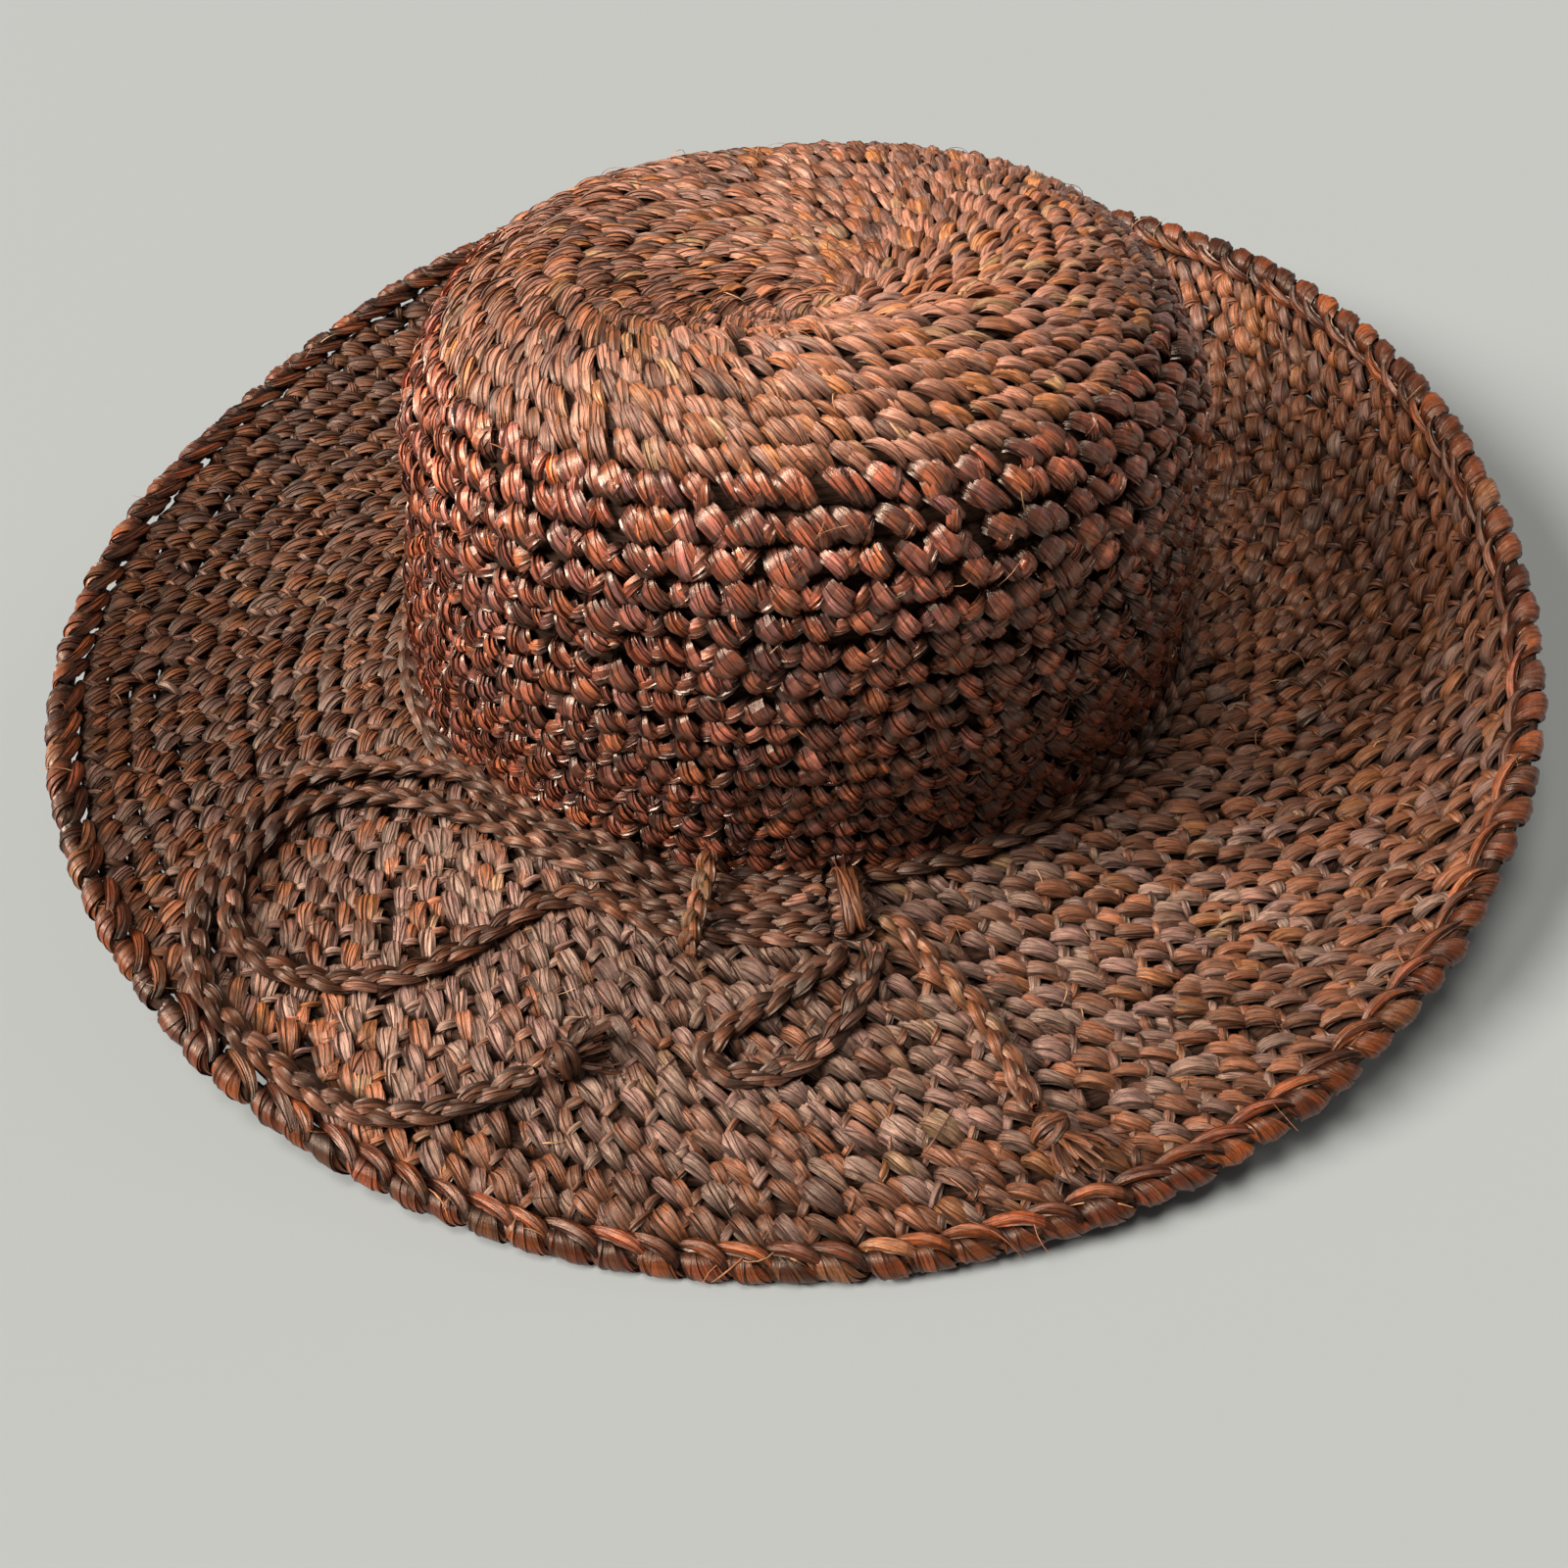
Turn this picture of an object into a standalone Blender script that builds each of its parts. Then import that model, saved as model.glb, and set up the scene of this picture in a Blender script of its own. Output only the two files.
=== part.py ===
"""Crocheted raffia sun hat with a braided cord tied in a bow.

The hat lies on a flat surface at z = 0 as it does when it is put down: the crown stands a
little tilted on the brim's inner rounds and the brim's front edge. The brim is turned up
all round except at the front. Front is -Y. Metres, +Z up.

The crochet is described by its outer surface. A point on it is given by the angle round
the crown and by how far along the profile it lies, and the fabric's thickness is taken
off on the inside.
"""
import math

import bmesh
import bpy
from mathutils import Matrix, Vector

MM = 0.001
TAU = math.tau
GAP = 0.0003

# Fabric
FABRIC = 4.0 * MM

# Crown: oval at its foot, squarer at the shoulder, leaning a little forward
FOOT_HALF_WIDTH = 99.5 * MM
FOOT_HALF_DEPTH = 90.5 * MM
SHOULDER_HALF_WIDTH = 88.0 * MM
SHOULDER_HALF_DEPTH = 84.0 * MM
SHOULDER_SHIFT = (4.0 * MM, -9.0 * MM)
SHOULDER_SQUARENESS = 2.2
SHOULDER_ROUNDING = 40.0 * MM
CROWN_HEIGHT = 112.0 * MM
CROWN_HEIGHT_SLOPE = -6.0 * MM
WALL_BULGE = 3.0 * MM
WALL_LEAN_POWER = 1.6
TIP_CENTRE = (13.0 * MM, -22.0 * MM, 106.0 * MM)
TIP_HOLLOW_POWER = 1.6

# Brim: slopes in degrees at twelve directions, from +X towards +Y
BRIM_REACH = 85.6 * MM
EDGING_DIAMETER = 7.0 * MM
BRIM_CURL = 1.4
BRIM_INNER_SLOPES = (-18, -11, -2, 2, 0, -4, -6, -4, -3, -6, -13, -18)
BRIM_EDGE_SLOPES = (89, 81, 54, 56, 51, 31, 33, 23, -9, -11, 15, 53)

# How it lies: the crown's foot is tilted back and its front is lifted
LEAN = math.radians(-2.93)
FOOT_HEIGHT = 7.9 * MM
MIDDLE = (7.06 * MM, 3.26 * MM)

# Cord
CORD = 4.4 * MM
CORD_LIFT = 0.5 * MM
CORD_POINT_SPACING = 9.5 * MM
KEEPER_CORD = 4.0 * MM

# Mesh fineness
AROUND = 48
BRIM_RINGS = 7
WALL_RINGS = 5
SHOULDER_RINGS = 2
TIP_RINGS = 4
KNOT_SIDES = 10

# Cord routes: angle round the crown (degrees), distance from its foot (mm) and how much
# higher the cord runs than one that lies on the brim (mm).
HAT_CORD_CLEARANCE = 2.9
HAT_CORD_START = -82.5
HAT_CORD_END = 271.5
LEFT_TAIL = (
    (-88.3, 7.8, 0.0), (-92, 7.7, 0.0), (-96, 7.6, 0.0), (-100, 7.6, 0.0),
    (-104, 7.6, 0.0), (-108, 7.6, 0.2), (-111, 7.1, 2.2), (-114, 5.6, 4.1),
    (-117, 3.6, 5.0), (-121, 3.0, 5.1), (-131, 3.0, 5.1), (-139, 3.2, 5.1),
    (-143, 4.1, 4.9), (-146, 5.9, 4.0), (-149, 8.5, 2.4), (-152, 13, 0.6),
    (-154.5, 19, 0.0), (-156, 28, 0.0), (-156.5, 39, 0.0), (-154, 50, 0.0),
    (-150.5, 60, 0.0), (-146.5, 70, 0.0), (-143, 77, 0.0), (-139.5, 81.5, 0.0),
    (-136, 83, 0.0), (-132.5, 83.2, 0.0), (-129, 83, 0.0), (-126, 82, 0.0),
    (-123, 79.5, 0.0), (-120, 75, 0.0), (-117.5, 68.5, 0.0), (-115.3, 63, 1.0),
    (-113.4, 59, 2.4),
)
LEFT_LOOP = (
    (-88.2, 12.8, 0.0), (-92, 12.7, 0.0), (-96, 12.6, 0.0), (-100, 12.5, 0.0),
    (-104, 12.5, 0.0), (-108, 12.4, 0.0), (-111, 11.8, 0.0), (-114, 9.6, 0.0),
    (-117, 8.2, 0.0), (-121, 7.9, 0.0), (-131, 7.9, 0.0), (-136, 8.6, 0.0),
    (-140, 10.5, 0.0), (-144, 13.6, 0.0), (-147.5, 18, 0.0), (-150.5, 24, 0.0),
    (-152.3, 32, 0.0), (-152.3, 42, 0.0), (-150.4, 52, 0.0), (-148, 60, 0.0),
    (-144.5, 66.5, 0.0), (-141, 69, 0.0), (-138, 68.3, 0.0), (-135.5, 65.3, 0.0),
    (-132.5, 60, 0.0), (-129.8, 53, 0.0), (-127.8, 46, 0.0), (-126.1, 37, 0.0),
    (-124.6, 28, 0.0), (-122.8, 20.8, 0.0), (-119.5, 16.0, 0.0), (-115, 15.2, 0.0),
    (-111, 16.7, 0.0), (-108, 17.3, 0.0), (-104, 17.4, 0.0), (-100, 17.5, 0.0),
    (-96, 17.6, 0.0), (-92, 17.7, 0.0), (-88.2, 17.7, 0.0),
)
RIGHT_LOOP = (
    (-86.9, 21.4, 0.0), (-87.9, 23.6, 0.0), (-89.4, 25.5, 0.0), (-92.4, 29.5, 0.0),
    (-95.4, 34.5, 0.0), (-98.4, 40, 0.0), (-100.1, 45, 0.0), (-99.9, 49, 0.0),
    (-97.7, 51.2, 0.0), (-94.6, 50.5, 0.0), (-92, 48, 0.0), (-89.6, 43.5, 0.0),
    (-87, 36.5, 0.0), (-85, 29.5, 0.0), (-84.1, 24, 0.0), (-84.0, 20.3, 0.0),
)
RIGHT_TAIL = (
    (-82.0, 14.8, 0.0), (-80.4, 16.6, 0.0), (-78.9, 20.8, 0.0), (-77.6, 28, 0.0),
    (-76, 35, 0.0), (-75, 42, 0.0), (-74.4, 50, 0.0), (-74.2, 58, 0.0),
    (-74.3, 64, 1.2), (-74.4, 67.5, 2.4),
)
LEFT_KNOT_ENDS = ((-112.9, 57.9), (-108.4, 45.5))
RIGHT_KNOT_ENDS = ((-74.4, 68.9), (-72.6, 83.5))

# Bow knot: middle of the knot, and its length across, along and above the brim
BOW_KNOT_AT = (-85.5, 10.3)
BOW_KNOT_SIZE = (9.0 * MM, 18.2 * MM, 8.6 * MM)
BOW_KNOT_BEVEL = 1.6 * MM

# Keeper loops: angle, then distance from the crown's foot and height (mm)
FRONT_KEEPER_ANGLE = -104
FRONT_KEEPER = ((0.9, 9.9), (4, 8.9), (8, 8.0), (12.5, 7.8), (17, 7.8), (20.6, 7.2),
                (23.1, 5.0), (23.9, 2.6))
BACK_KEEPER_ANGLE = 90
BACK_KEEPER = ((0.1, 9.0), (2.2, 8.2), (5, 7.7), (7.9, 6.3), (9.3, 4.3), (9.7, 2.6))

# Frayed end knots: distance along the knot and radius (mm)
END_KNOT_PROFILE = ((0.0, 2.1), (1.2, 3.7), (3.6, 4.8), (6.2, 4.3), (8.2, 2.8),
                    (10.0, 3.2), (13.0, 3.9))


def clear_scene():
    for item in list(bpy.data.objects):
        bpy.data.objects.remove(item, do_unlink=True)


def raffia(name, colour, roughness):
    material = bpy.data.materials.new(name)
    material.use_nodes = True
    shader = material.node_tree.nodes["Principled BSDF"]
    shader.inputs["Base Color"].default_value = (*colour, 1.0)
    shader.inputs["Roughness"].default_value = roughness
    shader.inputs["Metallic"].default_value = 0.0
    return material


def around(values, angle):
    """Value at an angle on a smooth closed curve through evenly spaced values."""
    count = len(values)
    position = (angle / TAU * count) % count
    i = int(position)
    f = position - i
    a, b, c, d = (values[(i + k) % count] for k in (-1, 0, 1, 2))
    return 0.5 * (2 * b + (c - a) * f + (2 * a - 5 * b + 4 * c - d) * f ** 2
                  + (3 * b - a - 3 * c + d) * f ** 3)


def on_table(point):
    """Move a point from the hat's own axes to where the hat lies."""
    turned = Matrix.Rotation(LEAN, 3, "X") @ Vector(point)
    return turned + Vector((MIDDLE[0], MIDDLE[1], FOOT_HEIGHT))


def foot_radius(angle):
    across = FOOT_HALF_DEPTH * math.cos(angle)
    along = FOOT_HALF_WIDTH * math.sin(angle)
    return FOOT_HALF_WIDTH * FOOT_HALF_DEPTH / math.hypot(across, along)


def brim_frame(angle, distance):
    """Point on the brim's upper side, its outward direction and its normal."""
    inner = math.radians(around(BRIM_INNER_SLOPES, angle))
    edge = math.radians(around(BRIM_EDGE_SLOPES, angle))
    full = BRIM_REACH + EDGING_DIAMETER
    steps = 24
    step = distance / steps
    radius = foot_radius(angle)
    height = 0.0
    for k in range(steps):
        slope = inner + (edge - inner) * ((k + 0.5) * step / full) ** BRIM_CURL
        radius += math.cos(slope) * step
        height += math.sin(slope) * step
    slope = inner + (edge - inner) * (distance / full) ** BRIM_CURL
    c, s = math.cos(angle), math.sin(angle)
    point = Vector((radius * c, radius * s, height))
    outward = Vector((math.cos(slope) * c, math.cos(slope) * s, math.sin(slope)))
    normal = Vector((-math.sin(slope) * c, -math.sin(slope) * s, math.cos(slope)))
    return point, outward, normal


def crown_point(angle, stage):
    """Outer surface of the crown: stage 0 to 1 wall, 1 to 2 shoulder, 2 to 3 tip."""
    c, s = math.cos(angle), math.sin(angle)
    squareness = SHOULDER_SQUARENESS
    square = (abs(c) ** squareness + abs(s) ** squareness) ** (-1 / squareness)
    top = CROWN_HEIGHT + CROWN_HEIGHT_SLOPE * s
    if stage <= 1:
        lean = 1 - (1 - stage) ** WALL_LEAN_POWER
        shift = stage * stage * (3 - 2 * stage)
        bulge = WALL_BULGE * math.sin(math.pi * stage) ** 2
        factor = 1 + (square - 1) * lean
        half_x = FOOT_HALF_WIDTH + (SHOULDER_HALF_WIDTH - FOOT_HALF_WIDTH) * lean + bulge
        half_y = FOOT_HALF_DEPTH + (SHOULDER_HALF_DEPTH - FOOT_HALF_DEPTH) * lean + bulge
        return Vector((SHOULDER_SHIFT[0] * shift + half_x * c * factor,
                       SHOULDER_SHIFT[1] * shift + half_y * s * factor,
                       (top - SHOULDER_ROUNDING) * stage))
    turn = min(stage - 1, 1) * math.pi / 2
    inset = SHOULDER_ROUNDING * (1 - math.cos(turn))
    rim = Vector((SHOULDER_SHIFT[0] + (SHOULDER_HALF_WIDTH - inset) * c * square,
                  SHOULDER_SHIFT[1] + (SHOULDER_HALF_DEPTH - inset) * s * square,
                  top - SHOULDER_ROUNDING * (1 - math.sin(turn))))
    if stage <= 2:
        return rim
    out = 3 - stage
    centre = Vector(TIP_CENTRE)
    point = centre.lerp(rim, out)
    point.z = centre.z + (rim.z - centre.z) * out ** TIP_HOLLOW_POWER
    return point


def crown_normal(angle, stage):
    """Outward normal of the crown's outer surface."""
    small = 0.002
    low = max(stage - small, 0)
    high = min(stage + small, 2.98)
    up = crown_point(angle, high) - crown_point(angle, low)
    side = crown_point(angle + small, stage) - crown_point(angle - small, stage)
    normal = side.cross(up)
    if stage < 0.02:
        normal.z = 0.0
    return normal.normalized()


def ring_angles():
    return [TAU * k / AROUND for k in range(AROUND)]


def add_loop(mesh, points):
    return [mesh.verts.new(p) for p in points]


def skin(mesh, first, second):
    """Faces between two closed loops of vertices."""
    count = len(first)
    for k in range(count):
        n = (k + 1) % count
        mesh.faces.new((first[k], first[n], second[n], second[k]))


def finish_object(name, mesh, material, smooth=True):
    bmesh.ops.recalc_face_normals(mesh, faces=mesh.faces)
    data = bpy.data.meshes.new(name)
    mesh.to_mesh(data)
    mesh.free()
    data.materials.append(material)
    if smooth:
        data.shade_smooth()
        data.set_sharp_from_angle(angle=math.radians(40))
    item = bpy.data.objects.new(name, data)
    bpy.context.scene.collection.objects.link(item)
    return item


def fabric_ring(name, outer, inner, material):
    """Closed ring of fabric from rows of points on its two sides."""
    mesh = bmesh.new()
    outer_loops = [add_loop(mesh, row) for row in outer]
    inner_loops = [add_loop(mesh, row) for row in inner]
    for a, b in zip(outer_loops, outer_loops[1:]):
        skin(mesh, a, b)
    for a, b in zip(inner_loops, inner_loops[1:]):
        skin(mesh, b, a)
    skin(mesh, inner_loops[0], outer_loops[0])
    skin(mesh, outer_loops[-1], inner_loops[-1])
    return finish_object(name, mesh, material)


def resting(point):
    """Keep a point on or above the surface the hat lies on."""
    return Vector((point.x, point.y, max(point.z, 0.0)))


def build_brim():
    upper = []
    lower = []
    foot = []
    under_foot = []
    for angle in ring_angles():
        point, _, _ = brim_frame(angle, 0.0)
        inside = point * ((foot_radius(angle) - FABRIC) / foot_radius(angle))
        foot.append(on_table(inside))
        under_foot.append(resting(on_table(inside - Vector((0, 0, FABRIC)))))
    upper.append(foot)
    lower.append(under_foot)
    for k in range(BRIM_RINGS + 1):
        distance = BRIM_REACH * k / BRIM_RINGS
        top_row = []
        low_row = []
        for angle in ring_angles():
            point, _, normal = brim_frame(angle, distance)
            top_row.append(on_table(point))
            low_row.append(resting(on_table(point - normal * FABRIC)))
        upper.append(top_row)
        lower.append(low_row)
    return fabric_ring("brim", upper, lower, raffia("brim", (0.19, 0.085, 0.05), 0.62))


def build_brim_edging():
    sides = 8
    radius = EDGING_DIAMETER / 2
    mesh = bmesh.new()
    rows = []
    for angle in ring_angles():
        point, outward, normal = brim_frame(angle, BRIM_REACH)
        centre = point - normal * (FABRIC / 2) + outward * (GAP + radius)
        row = []
        for k in range(sides):
            turn = TAU * (k + 0.5) / sides
            reach = radius / math.cos(math.pi / sides)
            offset = outward * (math.cos(turn) * reach) + normal * (math.sin(turn) * reach)
            row.append(mesh.verts.new(resting(on_table(centre + offset))))
        rows.append(row)
    for k, row in enumerate(rows):
        skin(mesh, row, rows[(k + 1) % AROUND])
    material = raffia("brim_edging", (0.34, 0.14, 0.06), 0.5)
    return finish_object("brim_edging", mesh, material)


def crown_rows(stages):
    outer = []
    inner = []
    for stage in stages:
        outer_row = []
        inner_row = []
        for angle in ring_angles():
            point = crown_point(angle, stage)
            outer_row.append(on_table(point))
            inner_row.append(on_table(point - crown_normal(angle, stage) * FABRIC))
        outer.append(outer_row)
        inner.append(inner_row)
    return outer, inner


def build_crown_side():
    lowest = GAP / (CROWN_HEIGHT - SHOULDER_ROUNDING)
    stages = [max(lowest, k / WALL_RINGS) for k in range(WALL_RINGS + 1)]
    stages += [1 + 0.5 * (k + 1) / SHOULDER_RINGS for k in range(SHOULDER_RINGS)]
    outer, inner = crown_rows(stages)
    material = raffia("crown_side", (0.22, 0.085, 0.045), 0.55)
    return fabric_ring("crown_side", outer, inner, material)


def build_crown_tip():
    start = 1.5 + GAP / (SHOULDER_ROUNDING * math.pi / 2)
    stages = [start + (2 - start) * k / SHOULDER_RINGS for k in range(SHOULDER_RINGS)]
    stages += [2 + k / TIP_RINGS for k in range(TIP_RINGS)]
    outer, inner = crown_rows(stages)
    mesh = bmesh.new()
    outer_loops = [add_loop(mesh, row) for row in outer]
    inner_loops = [add_loop(mesh, row) for row in inner]
    for a, b in zip(outer_loops, outer_loops[1:]):
        skin(mesh, a, b)
    for a, b in zip(inner_loops, inner_loops[1:]):
        skin(mesh, b, a)
    skin(mesh, inner_loops[0], outer_loops[0])
    top = mesh.verts.new(on_table(TIP_CENTRE))
    under = mesh.verts.new(on_table(Vector(TIP_CENTRE) - Vector((0, 0, FABRIC))))
    for k in range(AROUND):
        n = (k + 1) % AROUND
        mesh.faces.new((outer_loops[-1][k], outer_loops[-1][n], top))
        mesh.faces.new((inner_loops[-1][n], inner_loops[-1][k], under))
    material = raffia("crown_tip", (0.33, 0.14, 0.08), 0.6)
    return finish_object("crown_tip", mesh, material)


def on_brim(angle_degrees, distance_mm, height):
    """Point a given height above the brim's upper side."""
    point, _, normal = brim_frame(math.radians(angle_degrees), distance_mm * MM)
    return on_table(point + normal * height)


def route_points(route, diameter):
    return [on_brim(a, d, diameter / 2 + CORD_LIFT + lift * MM) for a, d, lift in route]


def smooth_path(points, spacing):
    """Points at even spacing along a smooth curve through the given points."""
    fine = []
    last = len(points) - 1
    for i in range(last):
        p0 = points[max(i - 1, 0)]
        p1 = points[i]
        p2 = points[i + 1]
        p3 = points[min(i + 2, last)]
        for k in range(12):
            f = k / 12
            fine.append(0.5 * (2 * p1 + (p2 - p0) * f
                               + (2 * p0 - 5 * p1 + 4 * p2 - p3) * f * f
                               + (3 * p1 - p0 - 3 * p2 + p3) * f ** 3))
    fine.append(points[-1])
    lengths = [0.0]
    for a, b in zip(fine, fine[1:]):
        lengths.append(lengths[-1] + (b - a).length)
    count = max(3, round(lengths[-1] / spacing))
    path = []
    i = 0
    for k in range(count + 1):
        target = lengths[-1] * k / count
        while i < len(lengths) - 2 and lengths[i + 1] < target:
            i += 1
        f = (target - lengths[i]) / (lengths[i + 1] - lengths[i])
        path.append(fine[i].lerp(fine[i + 1], f))
    return path


def cord_object(name, path, diameter, material):
    curve = bpy.data.curves.new(name, "CURVE")
    curve.dimensions = "3D"
    curve.bevel_depth = diameter / 2
    curve.bevel_resolution = 2
    curve.use_fill_caps = True
    spline = curve.splines.new("POLY")
    spline.points.add(len(path) - 1)
    for target, point in zip(spline.points, path):
        target.co = (*point, 1.0)
    curve.materials.append(material)
    item = bpy.data.objects.new(name, curve)
    bpy.context.scene.collection.objects.link(item)
    return item


def braid_colour(name):
    return raffia(name, (0.16, 0.07, 0.04), 0.5)


def build_hat_cord():
    count = 66
    route = []
    for k in range(count + 1):
        angle = HAT_CORD_START + (HAT_CORD_END - HAT_CORD_START) * k / count
        route.append((angle, HAT_CORD_CLEARANCE, 0.0))
    path = route_points(route, CORD)
    return cord_object("hat_cord", path, CORD, braid_colour("hat_cord"))


def build_free_cord(name, route):
    path = smooth_path(route_points(route, CORD), CORD_POINT_SPACING)
    return cord_object(name, path, CORD, braid_colour(name))


def build_keeper(name, angle, profile):
    points = [on_brim(angle, d, h * MM) for d, h in profile]
    path = smooth_path(points, KEEPER_CORD)
    return cord_object(name, path, KEEPER_CORD, braid_colour(name))


def build_bow_knot():
    angle, distance = BOW_KNOT_AT
    turn = math.radians(angle)
    point, outward, normal = brim_frame(turn, distance * MM)
    along = outward.cross(normal)
    height = CORD_LIFT + BOW_KNOT_SIZE[2] / 2
    local = Matrix((along, outward, normal)).transposed()
    world = Matrix.Rotation(LEAN, 3, "X") @ local
    mesh = bmesh.new()
    bmesh.ops.create_cube(mesh, size=1.0)
    bmesh.ops.scale(mesh, vec=BOW_KNOT_SIZE, verts=mesh.verts)
    bmesh.ops.bevel(mesh, geom=list(mesh.edges), offset=BOW_KNOT_BEVEL, segments=2,
                    affect="EDGES", profile=0.5)
    placing = Matrix.Translation(on_table(point + normal * height)) @ world.to_4x4()
    bmesh.ops.transform(mesh, matrix=placing, verts=mesh.verts)
    return finish_object("bow_knot", mesh, braid_colour("bow_knot"))


def build_end_knot(name, ends):
    widest = max(radius for _, radius in END_KNOT_PROFILE)
    height = CORD_LIFT + widest * MM
    start = on_brim(*ends[0], height)
    finish = on_brim(*ends[1], height)
    axis = (finish - start).normalized()
    side = axis.cross(Vector((0, 0, 1))).normalized()
    up = side.cross(axis)
    mesh = bmesh.new()
    loops = []
    for along, radius in END_KNOT_PROFILE:
        row = []
        for k in range(KNOT_SIDES):
            turn = TAU * k / KNOT_SIDES
            offset = side * math.cos(turn) + up * math.sin(turn)
            row.append(mesh.verts.new(start + axis * along * MM + offset * radius * MM))
        loops.append(row)
    for a, b in zip(loops, loops[1:]):
        skin(mesh, a, b)
    mesh.faces.new(loops[0])
    mesh.faces.new(loops[-1])
    return finish_object(name, mesh, raffia(name, (0.2, 0.09, 0.05), 0.5))


def main():
    clear_scene()
    build_crown_tip()
    build_crown_side()
    build_brim()
    build_brim_edging()
    build_hat_cord()
    build_bow_knot()
    build_free_cord("left_cord_tail", LEFT_TAIL)
    build_free_cord("left_bow_loop", LEFT_LOOP)
    build_free_cord("right_bow_loop", RIGHT_LOOP)
    build_free_cord("right_cord_tail", RIGHT_TAIL)
    build_end_knot("left_end_knot", LEFT_KNOT_ENDS)
    build_end_knot("right_end_knot", RIGHT_KNOT_ENDS)
    build_keeper("front_keeper_loop", FRONT_KEEPER_ANGLE, FRONT_KEEPER)
    build_keeper("back_keeper_loop", BACK_KEEPER_ANGLE, BACK_KEEPER)


main()
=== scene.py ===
import math

import bpy
import numpy as np
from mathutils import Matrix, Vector


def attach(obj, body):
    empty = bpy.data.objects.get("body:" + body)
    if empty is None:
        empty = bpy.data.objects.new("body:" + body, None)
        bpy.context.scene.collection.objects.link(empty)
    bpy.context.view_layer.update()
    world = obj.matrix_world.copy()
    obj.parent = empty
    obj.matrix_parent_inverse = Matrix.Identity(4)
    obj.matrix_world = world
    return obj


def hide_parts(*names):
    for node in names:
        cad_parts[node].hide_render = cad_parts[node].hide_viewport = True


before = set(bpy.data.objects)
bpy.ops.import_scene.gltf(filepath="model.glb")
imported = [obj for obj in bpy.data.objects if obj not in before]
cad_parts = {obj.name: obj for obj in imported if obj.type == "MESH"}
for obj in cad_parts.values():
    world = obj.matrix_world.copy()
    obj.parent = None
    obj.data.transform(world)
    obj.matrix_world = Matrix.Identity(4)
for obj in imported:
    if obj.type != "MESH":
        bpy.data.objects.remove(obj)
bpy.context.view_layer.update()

MM = 0.001
TAU = math.tau

# Shape of the hat, as in the CAD source
FABRIC = 4.0 * MM
FOOT_HALF_WIDTH = 99.5 * MM
FOOT_HALF_DEPTH = 90.5 * MM
SHOULDER_HALF_WIDTH = 88.0 * MM
SHOULDER_HALF_DEPTH = 84.0 * MM
SHOULDER_SHIFT = (4.0 * MM, -9.0 * MM)
SHOULDER_SQUARENESS = 2.2
SHOULDER_ROUNDING = 40.0 * MM
CROWN_HEIGHT = 112.0 * MM
CROWN_HEIGHT_SLOPE = -6.0 * MM
WALL_BULGE = 3.0 * MM
WALL_LEAN_POWER = 1.6
TIP_CENTRE = (13.0 * MM, -22.0 * MM, 106.0 * MM)
TIP_HOLLOW_POWER = 1.6
BRIM_REACH = 85.6 * MM
EDGING_DIAMETER = 7.0 * MM
BRIM_CURL = 1.4
BRIM_INNER_SLOPES = (-18, -11, -2, 2, 0, -4, -6, -4, -3, -6, -13, -18)
BRIM_EDGE_SLOPES = (89, 81, 54, 56, 51, 31, 33, 23, -9, -11, 15, 53)
LEAN = math.radians(-2.93)
FOOT_HEIGHT = 7.9 * MM
MIDDLE = (7.06 * MM, 3.26 * MM)

# Grids that the surfaces are worked out on
SURFACE_ANGLES = 361
BRIM_FROM = -10.0 * MM
BRIM_TO = 104.0 * MM
BRIM_STEPS = 228
PROFILE_STEPS = 600
PROFILE_STAGES = 3
RIM_STAGE = 1.5
COLUMNS_PER_ROUND = 8

# Rounds of crochet
BRIM_ROUNDS = 15
WALL_ROUNDS = 16
TIP_ROUNDS = 13
ALL_ROUNDS = WALL_ROUNDS + TIP_ROUNDS
STITCH_WIDTH = 8.4 * MM
EDGING_STITCH = 9.0 * MM
TIP_STITCH = 8.0 * MM
TIP_ROUND_HEIGHT = 6.1 * MM
SHOULDER_ROUND = 11
SHOULDER_ROUNDS = 4
SHOULDER_SHARE = 0.62
SPIRAL_ROUNDS = 4

# Cords
CORD = 4.4 * MM
CORD_LIFT = 0.5 * MM
BRAID_WIDTH = 6.0 * MM
BRAID_TURN = 23.0 * MM
BRAID_STEP = 0.9 * MM
BRAID_CLOSE = 3.0 * MM
KEEPER_WIDTH = 5.0 * MM
KEEPER_TURN = 15.0 * MM
HAT_CORD_CLEARANCE = 2.9
HAT_CORD_START = -82.5
HAT_CORD_END = 271.5
HAT_CORD_STEPS = 66
# Routes on the brim: degrees round it, mm out from the crown's foot, and any lift in mm
LEFT_TAIL = (
    (-88.3, 7.8), (-92, 7.7), (-96, 7.6), (-100, 7.6), (-104, 7.6), (-108, 7.6, 0.2),
    (-111, 7.1, 2.2), (-114, 5.6, 4.1), (-117, 3.6, 5.0), (-121, 3.0, 5.1),
    (-131, 3.0, 5.1), (-139, 3.2, 5.1), (-143, 4.1, 4.9), (-146, 5.9, 4.0),
    (-149, 8.5, 2.4), (-152, 13, 0.6), (-154.5, 19), (-156, 28), (-156.5, 39), (-154, 50),
    (-150.5, 60), (-146.5, 70), (-143, 77), (-139.5, 81.5), (-136, 83), (-132.5, 83.2),
    (-129, 83), (-126, 82), (-123, 79.5), (-120, 75), (-117.5, 68.5), (-115.3, 63, 1.0),
    (-113.4, 59, 2.4),
)
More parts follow.
